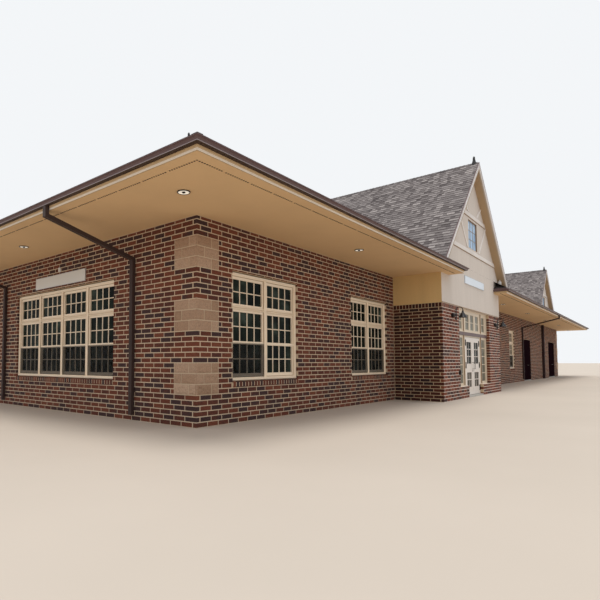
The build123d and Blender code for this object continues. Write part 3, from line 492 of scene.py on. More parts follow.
# A warmer, darker copy of the stucco for faces that look sideways: painted shade, warmed by light thrown up
# from the ground
stucco_finish("shaded_warm_stucco", (0.745, 0.515, 0.235))
stone_finish()
shingle_finish()
screen_finish()
light_finish()
metal_finish("brushed_steel", (0.56, 0.55, 0.53), 0.3)
metal_finish("dark_steel", (0.17, 0.155, 0.14), 0.4)
# Each paint: its colour, roughness, weathering, shine and grain
paints = {
    "roof_underlay": ((0.045, 0.036, 0.034), 0.9),
    "soffit_paint": ((0.730, 0.492, 0.262), 0.75, 0.06, 0.4, 0.0006),
    # The rake soffits' paint is darkened with painted shade
    "shaded_rake_soffit_paint": ((0.430, 0.298, 0.175), 0.75, 0.06, 0.4, 0.0006),
    "fascia_paint": ((0.640, 0.440, 0.240), 0.6),
    # The fascia's drip is a real trim, painted lighter with painted light
    "lit_drip_paint": ((0.780, 0.655, 0.520), 0.5),
    # The barge boards wear the brown of the shaded soffit and stucco behind them: painted shade
    "shaded_barge_paint": ((0.420, 0.325, 0.230), 0.6),
    "rake_paint": ((0.800, 0.765, 0.750), 0.55),
    # The rake panels' dark paint is painted shade between the boards
    "shaded_rake_panel_paint": ((0.235, 0.175, 0.155), 0.55),
    "gap_shade_paint": ((0.400, 0.285, 0.170), 0.6),
    "timber_paint": ((0.740, 0.690, 0.650), 0.6),
    # Paint for lines of painted shade: under the bands, round the gable windows' reveals, down the entrance
    # posts and at the stucco's foot
    "shadow_line_paint": ((0.300, 0.190, 0.110), 0.7),
    "window_paint": ((0.870, 0.725, 0.550), 0.42, 0.05, 0.4, 0.0002),
    "sash_paint": ((0.330, 0.290, 0.275), 0.5),
    "entry_paint": ((0.640, 0.530, 0.395), 0.42, 0.08),
    "leaf_paint": ((0.730, 0.665, 0.600), 0.4, 0.05),
    "gutter_paint": ((0.125, 0.076, 0.076), 0.45, 0.12, 0.3),
    "shade_paint": ((0.040, 0.020, 0.014), 0.55, 0.15),
    # The rain pipes wear a darker copy of the gutter paint: painted shade
    "shaded_pipe_paint": ((0.056, 0.035, 0.031), 0.5, 0.15, 0.2),
    # A painted highlight line along the gutters' foot
    "highlight_paint": ((0.330, 0.270, 0.270), 0.4, 0.10),
    "door_paint": ((0.012, 0.005, 0.007), 0.7, 0.2, 0.0),
    "casing_paint": ((0.046, 0.028, 0.028), 0.7, 0.2, 0.05),
    "black_paint": ((0.012, 0.010, 0.010), 0.3, 0.2),
    # The front sign's plate is painted bluish with sky light
    "sky_lit_sign_paint": ((0.700, 0.770, 0.850), 0.3, 0.04),
    "shaded_sign_paint": ((0.640, 0.625, 0.585), 0.35, 0.04),
    "white_paint": ((0.820, 0.810, 0.790), 0.3, 0.04),
}
for name, values in paints.items():
    paint_finish(name, *values)
# The glass colours are painted: the shade of the rooms behind the panes
glass_finish("dark_glass", (0.004, 0.006, 0.005), (0.012, 0.018, 0.013), (0.044, 0.060, 0.048))
glass_finish("door_glass", (0.006, 0.008, 0.006), (0.016, 0.017, 0.013), (0.055, 0.045, 0.035), 1.06)
glass_finish("dim_glass", (0.060, 0.054, 0.045), (0.120, 0.108, 0.092), (0.190, 0.172, 0.150), 1.06)
# The gable windows' glass is painted with a blue sky reflection
glass_finish("sky_reflection_glass", (0.290, 0.450, 0.650), (0.420, 0.590, 0.790), (0.580, 0.740, 0.900))
glass_finish("hall_glass", (0.150, 0.143, 0.110), (0.225, 0.213, 0.165), (0.320, 0.305, 0.250))

roof_nodes = ["roof_front_slope", "roof_rear_slope", "roof_hip_west", "roof_hip_east", "roof_return_ends",
              "gable_roof_west_slopes", "gable_roof_east_slopes"]
entry_leaves = ["entry_leaf_left", "entry_leaf_right"]
service_leaves = ["service_leaf_%d_%s" % (door, hand) for door in (1, 2) for hand in ("left", "right")]
finish_nodes = {
    "concrete": ["floor_slab"],
    "cast_stone": ["corner_quoins"],
    "shaded_warm_stucco": ["pavilion_stucco_sides"],
    "stucco": ["gable_walls"],
    "soffit_paint": ["eave_soffits_long", "eave_soffits_ends"],
    "shaded_rake_soffit_paint": ["rake_soffits"],
    "fascia_paint": ["fascia_boards"],
    "shaded_barge_paint": ["barge_boards"],
    "timber_paint": ["gable_timbers"],
    "gutter_paint": ["gutters", "entry_bar"],
    "shaded_pipe_paint": ["rain_pipes"],
    "casing_paint": ["pipe_casing"],
    "window_paint": ["window_frames", "gable_window_frames"],
    "entry_paint": ["entry_frame"],
    "leaf_paint": entry_leaves + ["rear_entry_doors"],
    "door_paint": service_leaves + ["service_door_frames"],
    "black_paint": ["gable_finials", "hip_finials", "barn_lamps", "wall_fittings"],
    "dark_steel": ["entry_pull_left", "entry_pull_right"],
    "dark_glass": ["window_glass"],
    "sky_reflection_glass": ["gable_window_glass"],
    "hall_glass": ["entry_glass"],
    "door_glass": ["entry_leaf_left_glass", "entry_leaf_right_glass", "rear_entry_door_glass"],
    "insect_mesh": ["insect_screens"],
    "opal_light": ["soffit_lights"],
    "roof_underlay": roof_nodes,
}
node_finish = {name: finish for finish, names in finish_nodes.items() for name in names}
# The piers' fronts are bedded in the sunlit mortar, their sides and the pavilion's side walls in the shaded
# one: painted light and shade
wall_beds = {
    "pavilion_piers": ("sunlit_pier_mortar", "shaded_side_mortar"),
    "pavilion_side_walls": ("shaded_side_mortar", "shaded_side_mortar"),
}
inner_x, inner_y = end_x - wall_depth, side_y - wall_depth
inner_margin = 0.002
gutter_foot_z = 2.0605
eave_top_z = 2.135
lock_rail_z = 0.50
upright = 0.35
sideways = 0.9
leaf_front_y = 3.1875
service_front_y = 2.4725


def wear(obj, *names):
    obj.data.materials.clear()
    for name in names:
        obj.data.materials.append(finishes[name])


def dress_wall(obj, bed, side_bed):
    """Mortar outside, for the bricks to stand in, and plaster on the faces towards the rooms."""
    wear(obj, bed, "plaster", side_bed)
    bay_x = grown((pavilion_west, pavilion_east), inner_margin - wall_depth)
    for face in obj.data.polygons:
        x, y, _ = face.center
        in_hall = abs(x) < inner_x + inner_margin and abs(y) < inner_y + inner_margin
        in_bay = bay_x[0] < x < bay_x[1] and abs(y) < pavilion_y - wall_depth + inner_margin
        face.material_index = 1 if in_hall or in_bay else 2 * int(abs(face.normal.x) > upright)


def second_finish(name, finish, chosen):
    """Some of a node's faces wear another finish than the rest."""
    mesh = nodes[name].data
    mesh.materials.append(finishes[finish])
    for face in mesh.polygons:
        face.material_index = int(chosen(face))


for name, obj in nodes.items():
    if name in node_finish:
        wear(obj, node_finish[name])
    else:
        dress_wall(obj, *wall_beds.get(name, ("mortar", "mortar")))
# The gutters' flat underside wears painted shade
second_finish("gutters", "shade_paint", lambda face: face.center.z < gutter_foot_z)
# The gables' side faces wear the stucco's painted warm shade
second_finish("gable_walls", "shaded_warm_stucco", lambda face: abs(face.normal.x) > sideways)
for name in roof_nodes:
    second_finish(name, "gutter_paint",
                  lambda face: face.center.z < eave_top_z and abs(face.normal.z) < upright)
for name in entry_leaves:
    second_finish(name, "black_paint", lambda face: face.center.y < -leaf_front_y - inner_margin)
    second_finish(name + "_glass", "dim_glass", lambda face: face.center.z < lock_rail_z)
for name in service_leaves:
    second_finish(name, "dark_steel", lambda face: face.center.y < -service_front_y - inner_margin)


# Brickwork

# A rectangle of a wall with no bricks: an opening with a reveal, or a place for other masonry
Gap = namedtuple("Gap", "u0 u1 z0 z1 reveal", defaults=(0.0,))


def spans_of(u0, u1, z0, z1, gaps):
    """What the gaps leave of one brick: (u0, u1, z0, z1, depth at its first end, depth at its last end)."""
    parts = [(u0, u1, z0, z1, 0.0, 0.0)]
    for gap in gaps:
        left = []
        for part in parts:
            a, b, low, high, first, last = part
            if b <= gap.u0 or a >= gap.u1 or high <= gap.z0 or low >= gap.z1:
                left.append(part)
                continue
            if low < gap.z1 < high and high - gap.z1 > thinnest_cut:
                left.append((a, b, gap.z1 + joint / 2, high, first, last))
            elif low < gap.z0 < high and gap.z0 - low > thinnest_cut:
                left.append((a, b, low, gap.z0 - joint / 2, first, last))
            if a < gap.u0:
                left.append((a, gap.u0, low, high, first, gap.reveal))
            if b > gap.u1:
                left.append((gap.u1, b, low, high, gap.reveal, last))
        parts = left
    return parts


def lay_bricks(heap, wall, u_start, u_end, z_top, gaps, swap, chance, loose_end=False):
    """A third bond: each course starts at the corner with a whole brick or a header that returns round it."""
    length = u_end - u_start
    if loose_end:
        count, size = ceil(length / module), module
    else:
        count = round((length - header) / module)
        size = (length - header) / count
    for row in range(ceil(z_top / course)):
        z0 = row * course + joint / 2
        z1 = min((row + 1) * course, z_top) - joint / 2
        if z1 - z0 < thinnest_cut:
            continue
        whole_first = (row % 2 == 0) != swap
        first = 0.0 if whole_first else header
        for index in range(count + 1):
            a = u_start + first + index * size
            b = min(a + size, u_end)
            if b - a < header + joint:
                continue
            at_start = index == 0 and whole_first
            at_end = not loose_end and abs(b - u_end) < joint
            tone = chance.random()
            for c, d, low, high, deep_c, deep_d in spans_of(a, b, z0, z1, gaps):
                if d - c < shortest_cut:
                    continue
                corner_c, corner_d = at_start and c == a, at_end and d == b
                left = c - proud if corner_c else (c - brick_edge if deep_c else c + joint / 2)
                right = d + proud if corner_d else (d + brick_edge if deep_d else d - joint / 2)
                back = -max(deep_c, deep_d) if deep_c or deep_d else -brick_edge
                if corner_c or corner_d:
                    back = joint - header
                face = proud + chance.uniform(-brick_wander, brick_wander)
                slab(heap, wall, (left, right), (low, high), (back, face), brick_edge, tone)


def lay_rowlock(heap, wall, u0, u1, z0, z1, face, chance, back=bed_back):
    """Bricks on edge, side by side."""
    count = round((u1 - u0) / header)
    step = (u1 - u0) / count
    for index in range(count):
        a = u0 + index * step + joint / 2
        b = a + step - joint
        depth = face + chance.uniform(-brick_wander, brick_wander)
        slab(heap, wall, (a, b), (z0 + joint / 2, z1 - joint / 2), (back, depth), brick_edge, chance.random())


def wall_gaps(side):
    """The windows and quoins of a main wall."""
    reach = half_length[side]
    inner = reach - quoin_width
    corners = product(quoin_levels, ((-reach, -inner), (inner, reach)))
    gaps = [Gap(a, b, sill_z, head_z, reveal_depth) for place, a, b, _ in windows if place == side]
    return gaps + [Gap(*ends, z, z + quoin_height) for z, ends in corners]


def build_brickwork():
    chance = Random(11)
    bay = [Gap(pavilion_west, pavilion_east, 0.0, soffit_z)]
    doors = [Gap(a, b, 0.0, top, door_reveal) for a, b, top in service_doors]
    for name, sides in (
        ("bricks_front", [(FRONT, bay + doors, False)]),
        ("bricks_rear", [(REAR, bay, True)]),
        ("bricks_ends", [(WEST, [], True), (EAST, [], False)]),
    ):
        heap = Heap()
        for side, more, swap in sides:
            reach = half_length[side]
            lay_bricks(heap, walls[side], -reach, reach, soffit_z, wall_gaps(side) + more, swap, chance)
        heap.piece(name, "brick", "brick")

    piers, flanks = Heap(), Heap()
    rowlock_z = pavilion_brick_top - rowlock_height
    knee_z = knee_wall_top - course
    entry_u, door_u = (about(pavilion_x, half) for half in (entry_half, door_gap_half))
    gaps = [
        Gap(*entry_u, knee_wall_top, pavilion_brick_top, entry_reveal),
        Gap(*door_u, 0.0, pavilion_brick_top, entry_reveal),
        Gap(*entry_u, knee_z, knee_wall_top),
    ]
    for side in (FRONT, REAR):
        face = Wall(side, pavilion_y)
        lay_bricks(piers, face, pavilion_west, pavilion_east, rowlock_z, gaps, side == REAR, chance)
        for edge in (-1, 1):
            a, b = span(edge, entry_half, pavilion_east - pavilion_x, pavilion_x)
            lay_rowlock(piers, face, a, b, rowlock_z, pavilion_brick_top, proud, chance)
            a, b = span(edge, entry_half, door_gap_half, pavilion_x)
            lay_rowlock(piers, face, a, b, knee_z, knee_wall_top, proud, chance, -entry_reveal)
    for side, distance in ((WEST, -pavilion_west), (EAST, pavilion_east)):
        face = Wall(side, distance)
        for end in (-1, 1):
            # The courses run from the outer corner to the main wall, where they are cut
            inward = Wall(side, distance)
            inward.along = face.along * -end
            swap = (side == WEST) == (end < 0)
            lay_bricks(flanks, inward, -pavilion_y, -side_y, rowlock_z, [], swap, chance, loose_end=True)
            a, b = span(end, pavilion_y, side_y)
            lay_rowlock(flanks, face, a, b, rowlock_z, pavilion_brick_top, proud, chance)
    # The piers in painted sunlight, the pavilion's sides in painted shade
    piers.piece("bricks_piers", "sunlit_pier_brick", "brick")
    flanks.piece("bricks_pavilion_sides", "shaded_side_brick", "brick")


def build_sills():
    """Rowlock sills, which stand a little further out than the wall."""
    chance = Random(23)
    heap = Heap()
    stand = -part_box("brick_sills")[0].x - end_x + proud
    for side, a, b, _ in windows:
        lay_rowlock(heap, walls[side], a, b, sill_z, brick_sill_top, stand, chance, -reveal_depth)
    heap.piece("sill_bricks", "brick", "brick")


def rough_block(heap, wall, u, z, chance):
    """A split-face block: a flat margin round a broken face."""
    columns, rows = (max(2, round((high - low) / split_step)) for low, high in (u, z))
    tone = chance.random()
    corners, faces = [], []
    for j in range(rows + 1):
        for i in range(columns + 1):
            depth = block_face - block_margin
            if 0 < i < columns and 0 < j < rows:
                depth = block_face + chance.uniform(*split_range) * split_depth
            corners.append(wall.at(part_way(u, i, columns), part_way(z, j, rows), depth))
    line = columns + 1
    for j in range(rows):
        for i in range(columns):
            first = j * line + i
            faces.append((first, first + 1, first + line + 1, first + line))
    rim = list(range(line))
    rim += [j * line + columns for j in range(1, rows + 1)]
    rim += [rows * line + i for i in range(columns - 1, -1, -1)]
    rim += [j * line for j in range(rows - 1, 0, -1)]
    start = len(corners)
    for i in rim:
        corners.append(corners[i] + wall.out * (bed_back - (corners[i] - wall.origin).dot(wall.out)))
    for k in range(len(rim)):
        n = (k + 1) % len(rim)
        faces.append((rim[k], rim[n], start + n, start + k))
    faces.append(tuple(start + k for k in range(len(rim))))
    heap.add(corners, faces, tone)


def build_quoins():
    """Three rows of blocks to a quoin, a long one and a short one, which change ends from row to row."""
    chance = Random(31)
    blocks, bed = Heap(), Heap()
    row_height = quoin_height / quoin_rows
    gap = joint / 2
    for side, end, level in product(walls, (-1, 1), quoin_levels):
        wall, reach = walls[side], half_length[side]
        bed_u = span(end, reach + hair, reach - quoin_width)
        slab(bed, wall, bed_u, (level, level + quoin_height), quoin_bed)
        for row in range(quoin_rows):
            long_at_corner = (row % 2 == 0) == (side in (FRONT, REAR))
            split_at = quoin_width * (2 / 3 if long_at_corner else 1 / 3)
            z = (level + row * row_height + gap, level + (row + 1) * row_height - gap)
            rough_block(blocks, wall, span(end, reach + block_face, reach - split_at + gap), z, chance)
            rough_block(blocks, wall, span(end, reach - split_at - gap, reach - quoin_width + gap), z, chance)
    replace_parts(blocks.piece("quoin_blocks", "cast_stone", "cast_stone"), "corner_quoins")
    bed.piece("quoin_mortar", "mortar", "brick")


# The roof's covering

exposure = 0.0716
tab_length = exposure + 0.010
tab_widths = (0.045, 0.150)
thick_tab, thin_tab = 0.0065, 0.0030
thick_tones, thin_tones, cap_tones = (0.28, 1.0, 0.68), (0.12, 0.75, 0.38), (0.0, 0.55, 0.2)
course_tone = 0.06
narrowest_tab, smallest_tab = 0.004, 1e-5
cut_tab_foot, cut_tab_top = -0.002, 0.08
wedge_faces = [(0, 1, 2, 3), (3, 2, 5, 4), (0, 4, 5, 1), (0, 3, 4), (1, 5, 2)]
wedge_rises = [0, 0, 0, 0, 1, 1]
hidden_depth = 0.012
gable_setback = 0.02
cap_half, cap_lift, cap_butt, cap_bow, cap_depth = 0.066, 0.004, 0.006, 0.002, 0.005


class Slope:
    """A plane of the roof: origin on its eave, along the eave, up the slope, and out of it."""

    def __init__(self, origin, along, upward):
        self.origin, self.along = Vector(origin), Vector(along)
        self.up = Vector(upward).normalized()
        self.out = self.along.cross(self.up)
        if self.out.z < 0:
            self.out.negate()

    def at(self, s, t, h=0.0):
        return self.origin + self.along * s + self.up * t + self.out * h


def within(corner, edge):
    """How far a corner lies inside an edge, which is a point and its way inward."""
    point, inward = edge
    return (corner[0] - point[0]) * inward[0] + (corner[1] - point[1]) * inward[1]


def clip(polygon, edge):
    """The part of a flat polygon of (s, t) corners inside an edge."""
    kept = []
    for corner, following in zip(polygon, polygon[1:] + polygon[:1]):
        here, there = within(corner, edge), within(following, edge)
        if here >= 0:
            kept.append(corner)
        if here * there < 0:
            share = here / (here - there)
            kept.append(tuple(a + (b - a) * share for a, b in zip(corner, following)))
    return kept


def small(polygon):
    area = sum(a[0] * b[1] - b[0] * a[1] for a, b in zip(polygon, polygon[1:] + polygon[:1])) / 2
    return abs(area) < smallest_tab


def roof_height(x, y):
    """The long slopes and hips, without the cross gables."""
    return eave_z + min(long_rise * (fascia_y - abs(y)), hip_rise * (fascia_x - abs(x)))


def gable_height(x, y):
    """The cross gables' roofs, or nothing where there is none."""
    covers = [centre for centre, front, _ in gables if abs(y) < front - gable_setback]
    return max((gable_ridge_z - gable_rise * abs(x - centre) for centre in covers), default=0.0)


def hidden(slope, polygon, cover):
    """Whether a tab lies wholly under another roof, whose height is a function of x and y."""
    points = [slope.at(s, t) for s, t in polygon]
    return all(cover(p.x, p.y) > p.z + hidden_depth for p in points)


def lay_tab(heap, slope, polygon, edges, height, tone):
    """One tab: a whole wedge, or what the edges leave of it."""
    (a, t0), (b, _), (_, t1), _ = polygon
    whole = True
    for edge in edges:
        if any(within(corner, edge) < 0 for corner in polygon):
            whole = False
            polygon = clip(polygon, edge)
    if small(polygon):
        return
    if whole:
        places = [(a, t0), (b, t0), (b, t0, height), (a, t0, height), (a, t1), (b, t1)]
        heap.add([slope.at(*place) for place in places], wedge_faces, tone, wedge_rises)
        return
    rises = [(t - t0) / tab_length for _, t in polygon]
    base = [slope.at(s, t, cut_tab_foot) for s, t in polygon]
    top = [slope.at(s, t, height * max(cut_tab_top, 1 - rise)) for (s, t), rise in zip(polygon, rises)]
    heap.loft([base, top], tone, rises * 2)


def lay_shingles(heap, slope, s_range, t_end, edges, chance, cover=None, t_start=0.0):
    """Courses of laminated tabs: thick and thin by turns, each with its own tone. The edges cut them."""
    for row in range(ceil(t_end / exposure)):
        t0 = row * exposure
        t1 = min(t0 + tab_length, t_end)
        s = s_range[0] - chance.uniform(0, tab_widths[1])
        thick = chance.random() < 0.5
        band = chance.uniform(-course_tone, course_tone)
        while s < s_range[1]:
            width = chance.uniform(*tab_widths)
            a, b = max(s, s_range[0]), min(s + width, s_range[1])
            s += width
            thick = not thick
            tone = band + chance.triangular(*(thick_tones if thick else thin_tones))
            polygon = [(a, t0), (b, t0), (b, t1), (a, t1)]
            if b - a < narrowest_tab or t0 < t_start or (cover and hidden(slope, polygon, cover)):
                continue
            lay_tab(heap, slope, polygon, edges, thick_tab if thick else thin_tab, tone)


def hip_edges(reach, steep, ratio):
    """The two hips that bound a slope, at its west or front end and at the other one."""
    return [((-way * reach, roof_drip * steep), (way, -ratio)) for way in (1.0, -1.0)]


def build_shingles():
    chance = Random(47)
    edge_x, edge_y = fascia_x + roof_drip, fascia_y + roof_drip
    hip_line = Vector((fascia_x - ridge_end, fascia_y, 0))
    steep = hypot(1, long_rise)
    first_hip, last_hip = hip_edges(fascia_x, steep, hip_line.x / (hip_line.y * steep))
    first_return, last_return = ((return_west, 0.0), (-1.0, 0.0)), ((return_east, 0.0), (1.0, 0.0))
    for side, name in ((-1, "shingles_front"), (1, "shingles_rear")):
        heap = Heap()
        slope = Slope((0, side * edge_y, eave_z - long_rise * roof_drip), (1, 0, 0), (0, -side, long_rise))
        for s_range, edges, t_start in (
            ((-edge_x, return_west), [first_hip, first_return], 0.0),
            ((return_east, edge_x), [last_hip, last_return], 0.0),
            ((return_west, return_east), [], (edge_y - pavilion_y) * steep),
        ):
            lay_shingles(heap, slope, s_range, edge_y * steep, edges, chance, gable_height, t_start)
        heap.piece(name, "shingle", "shingle")

    heap = Heap()
    steep = hypot(1, hip_rise)
    edges = hip_edges(fascia_y, steep, hip_line.y / (hip_line.x * steep))
    for side in (-1, 1):
        slope = Slope((side * edge_x, 0, eave_z - hip_rise * roof_drip), (0, 1, 0), (-side, 0, hip_rise))
        lay_shingles(heap, slope, (-edge_y, edge_y), (edge_x - ridge_end) * steep, edges, chance)
    heap.piece("shingles_hips", "shingle", "shingle")

    heap = Heap()
    for (centre, front, foot), side in product(gables, (-1, 1)):
        reach = front + rake_overhang + barge_thickness
        origin = (centre + side * foot, 0, gable_ridge_z - gable_rise * foot)
        slope = Slope(origin, (0, 1, 0), (-side, 0, gable_rise))
        lay_shingles(heap, slope, (-reach, reach), foot * hypot(1, gable_rise), [], chance, roof_height)
    heap.piece("shingles_gables", "shingle", "shingle")


def lay_caps(heap, start, end, left, right, chance):
    """Cap tabs bent over a ridge or hip from start to end: left and right run down the slopes beside it."""
    way = (end - start).normalized()
    for index in range(ceil((end - start).length / exposure)):
        a = start + way * (index * exposure)
        b = a + way * min(tab_length, (end - a).length)
        rings = []
        for point, high in ((a, cap_lift + cap_butt), (b, cap_lift)):
            sides = [point + slope * cap_half + up * high for slope in (left, right)]
            top = [sides[0], point + up * (high + cap_bow), sides[1]]
            rings.append(top + [corner - up * cap_depth for corner in reversed(top)])
        heap.loft(rings, chance.triangular(*cap_tones))


def build_caps():
    chance = Random(59)
    heap = Heap()
    down = {side: (outward[side] - up * rise).normalized()
            for side, rise in ((FRONT, long_rise), (REAR, long_rise), (WEST, hip_rise), (EAST, hip_rise))}
    gable_down = [(outward[side] - up * gable_rise).normalized() for side in (WEST, EAST)]
    tops = {WEST: Vector((-ridge_end, 0, ridge_z)), EAST: Vector((ridge_end, 0, ridge_z))}
    lay_caps(heap, tops[WEST], tops[EAST], down[FRONT], down[REAR], chance)
    for end, side in product((WEST, EAST), (FRONT, REAR)):
        foot = outward[end] * fascia_x + outward[side] * fascia_y + up * eave_z
        lay_caps(heap, foot, tops[end], down[end], down[side], chance)
    for (centre, front, _), side in product(gables, (-1, 1)):
        start = Vector((centre, side * (front + rake_overhang), gable_ridge_z))
        lay_caps(heap, start, Vector((centre, 0, gable_ridge_z)), *gable_down, chance)
    heap.piece("ridge_caps", "shingle", "shingle")


# Windows

bar_width, bar_depth = 0.012, 0.008
bar_shape = [(-0.5, 0.0), (-0.5, 0.35), (-0.28, 1.0), (0.28, 1.0), (0.5, 0.35), (0.5, 0.0)]
brickmould = [(0, -0.002), (0, 0.011), (0.004, 0.013), (0.008, 0.010),
              (0.015, 0.008), (0.020, 0.004), (0.023, 0.004), (0.023, -0.002)]
bead = [(0, -0.002), (0, 0.004), (0.003, 0.007), (0.007, 0.004), (0.009, -0.002)]
wide_bead = [(across * 1.5, out) for across, out in bead]
flat_bead = [(0, -0.002), (0, 0.001), (0.002, 0.002), (0.007, 0.002), (0.009, -0.002)]
nose_inset, nose_height, nose_depth, nose_edge = 0.003, (hair, 0.024), (-0.002, 0.018), 0.004
mullion_bead_end, transom_bead_inset = 0.020, 0.024
rail_depth, rail_edge = (-hair, 0.004), 0.002
sash_joint = board(0, 0.006, -hair, 0.0012)
sash_joint_foot, sash_joint_head, sash_joint_rise = 0.031, 0.034, 0.0075
angle_height, angle_face = 0.006, 0.0015
gable_window_half = 0.275
gable_window_levels = [(2.680, 3.200), (2.820, 3.200)]
gable_frame_face, gable_frame_width, gable_frame_depth = 0.018, 0.014, 0.022
gable_pane_depth = 0.026
gable_bar_depth = 0.006
gable_reveal_width = 0.004


def glazing_bars(heap, wall, u, z, columns, rows, w, width=bar_width, depth=bar_depth):
    """Bars over a pane at a depth w: one run for each line between lites."""
    profile = [(a * width, d * depth) for a, d in bar_shape]
    for i in range(1, columns):
        x = part_way(u, i, columns)
        strip(heap, wall.at(x, z[0], w), wall.at(x, z[1], w), wall.along, wall.out, profile)
    for j in range(1, rows):
        y = part_way(z, j, rows)
        strip(heap, wall.at(u[0], y, w), wall.at(u[1], y, w), up, wall.out, profile)


def units(u0, u1, count):
    """The clear widths of a window's units, between its jambs and mullions."""
    clear = (u1 - u0 - 2 * jamb - (count - 1) * mullion) / count
    starts = [u0 + jamb + i * (clear + mullion) for i in range(count)]
    return [(start, start + clear) for start in starts]


def dress_window(heap, lines, wall, u0, u1, count):
    """Brickmould, sill nose, beads, meeting rails and glazing bars, and lines of painted shade in the gap
    round each sash.
    """
    face = -frame_back
    foot, head = brick_sill_top + mullion_bead_end, head_z - mullion_bead_end
    surround(heap, wall, grown((u0, u1), -hair), (brick_sill_top, head_z - hair), brickmould, face)
    nose_z = [brick_sill_top + height for height in nose_height]
    slab(heap, wall, grown((u0, u1), -nose_inset), nose_z, [face + depth for depth in nose_depth], nose_edge)
    clear = units(u0, u1, count)
    for a, b in zip(clear, clear[1:]):
        for u, inward in ((a[1], wall.along), (b[0], -wall.along)):
            strip(heap, wall.at(u, foot, face), wall.at(u, head, face), inward, wall.out, bead)
    middle = (transom_rail[0] + transom_rail[1]) / 2
    rail_low, rail_high = grown(transom_rail, -transom_bead_inset)
    for a, b in clear:
        for z, way in ((rail_low, up), (rail_high, -up)):
            strip(heap, wall.at(a, z, face), wall.at(b, z, face), way, wall.out, wide_bead)
        for z in glass_fields:
            glazing_bars(heap, wall, (a + stile, b - stile), z, 4, 2, -glass_back)
        slab(heap, wall, (a, b), meeting_rail, [depth - sash_back for depth in rail_depth], rail_edge)
        # Lines of painted shade in the gap round each sash
        for z in ((brick_sill_top + sash_joint_foot, middle - sash_joint_rise),
                  (middle + sash_joint_rise, head_z - sash_joint_head)):
            surround(lines, wall, (a, b), z, sash_joint, -sash_back)


def build_windows():
    """Each window's joinery, and the thin painted angle over its head that carries the bricks."""
    joinery, lines, angles = Heap(), Heap(), Heap()
    for side, u0, u1, count in windows:
        dress_window(joinery, lines, walls[side], u0, u1, count)
        slab(angles, walls[side], (u0, u1), (head_z, head_z + angle_height), (-frame_back, angle_face), hair)
    joinery.piece("window_joinery", "window_paint", "window_frame")
    lines.piece("sash_gap_shades", "gap_shade_paint", "window_frame")
    angles.piece("lintel_angles", "fascia_paint", "window_frame")


def build_gable_windows():
    """Slim frames set back in their openings, with three panes by three, and a shaded reveal round them."""
    frames, panes, reveals = Heap(), Heap(), Heap()
    frame_shape = board(0, gable_frame_width, -gable_frame_depth, 0)
    reveal_shape = board(0, gable_reveal_width, -gable_frame_face, -hair)
    pane_w = (-gable_frame_face - gable_frame_depth, -gable_pane_depth)
    for (centre, front, _), z in zip(gables, gable_window_levels):
        for side in (FRONT, REAR):
            wall = Wall(side, front)
            u = about(centre, gable_window_half)
            clear_u, clear_z = grown(u, -gable_frame_width), grown(z, -gable_frame_width)
            surround(frames, wall, u, z, frame_shape, -gable_frame_face)
            glazing_bars(frames, wall, clear_u, clear_z, 3, 3, -gable_pane_depth, depth=gable_bar_depth)
            slab(panes, wall, clear_u, clear_z, pane_w)
            surround(reveals, wall, u, z, reveal_shape)
    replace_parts(frames.piece("gable_sashes", "sash_paint", "window_frame"), "gable_window_frames")
    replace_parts(panes.piece("gable_panes", "sky_reflection_glass", "glass"), "gable_window_glass")
    reveals.piece("gable_reveals", "shadow_line_paint", "window_frame")


# The entrance

leaf_far = 0.4575
leaf_face = 0.057
leaf_pane = (0.0892, 0.3715)
leaf_fields = [((0.588, 0.975), 2, 3), ((0.171, 0.431), 2, 2)]
leaf_bar_back = 0.009
leaf_rail_bar, leaf_upright_bar = (0.013, 0.009), (0.009, 0.003)
bead_margin = 0.009
transom_z = (1.195, 1.467)
side_panes = [((0.6025, 0.858), (0.2532, 1.040), 5), ((0.6325, 0.828), transom_z, 2)]
middle_transom_half, middle_transom_pitch = 0.099, 0.3083
pane_depth, pane_thickness = 0.064, 0.004
pane_bar = (0.014, 0.006)
post_line, post_line_width, post_line_depth = 0.540, 0.010, 0.014
post_line_foot, post_line_head = 0.010, 0.020
head_mould_drop = 0.402
hinge_levels = (0.14, 0.56, 0.96)
hinge_width, hinge_half_height, hinge_face, hinge_edge = 0.058, 0.054, 0.0015, 0.0008
lock_u, lock_z = 0.0452, 0.455
lock_steps = [(-0.001, 0.009), (0.003, 0.009), (0.005, 0.006), (0.0055, 0.0025)]


def bead_pane(heap, wall, u, z):
    surround(heap, wall, grown(u, bead_margin), grown(z, bead_margin), flat_bead, -leaf_face)


def dress_leaf(heap, wall, edge):
    """Glazing bars and beads of one leaf: edge is -1 for the left leaf and 1 for the right one."""
    u = span(edge, *leaf_pane, pavilion_x)
    for z, columns, rows in leaf_fields:
        glazing_bars(heap, wall, u, z, 1, rows, -leaf_face - leaf_bar_back, *leaf_rail_bar)
        glazing_bars(heap, wall, u, z, columns, 1, -leaf_face - leaf_bar_back, *leaf_upright_bar)
        bead_pane(heap, wall, u, z)


def entry_panes():
    """Each fixed pane round the doors: its width and height ranges and its rows."""
    panes = [(span(edge, *u, pavilion_x), z, rows) for edge in (-1, 1) for u, z, rows in side_panes]
    for index in (-1, 0, 1):
        centre = pavilion_x + index * middle_transom_pitch
        panes.append((about(centre, middle_transom_half), transom_z, 2))
    return panes


def build_hardware(heap, wall, edge):
    """Hinge plates and a lock under the pull."""
    plate_u = span(edge, leaf_far - hair, leaf_far - hinge_width, pavilion_x)
    plate_w = (-leaf_face - hair, -leaf_face + hinge_face)
    for z in hinge_levels:
        slab(heap, wall, plate_u, about(z, hinge_half_height), plate_w, hinge_edge)
    turned(heap, wall.at(pavilion_x + edge * lock_u, lock_z, -leaf_face), wall.out, lock_steps, 16)


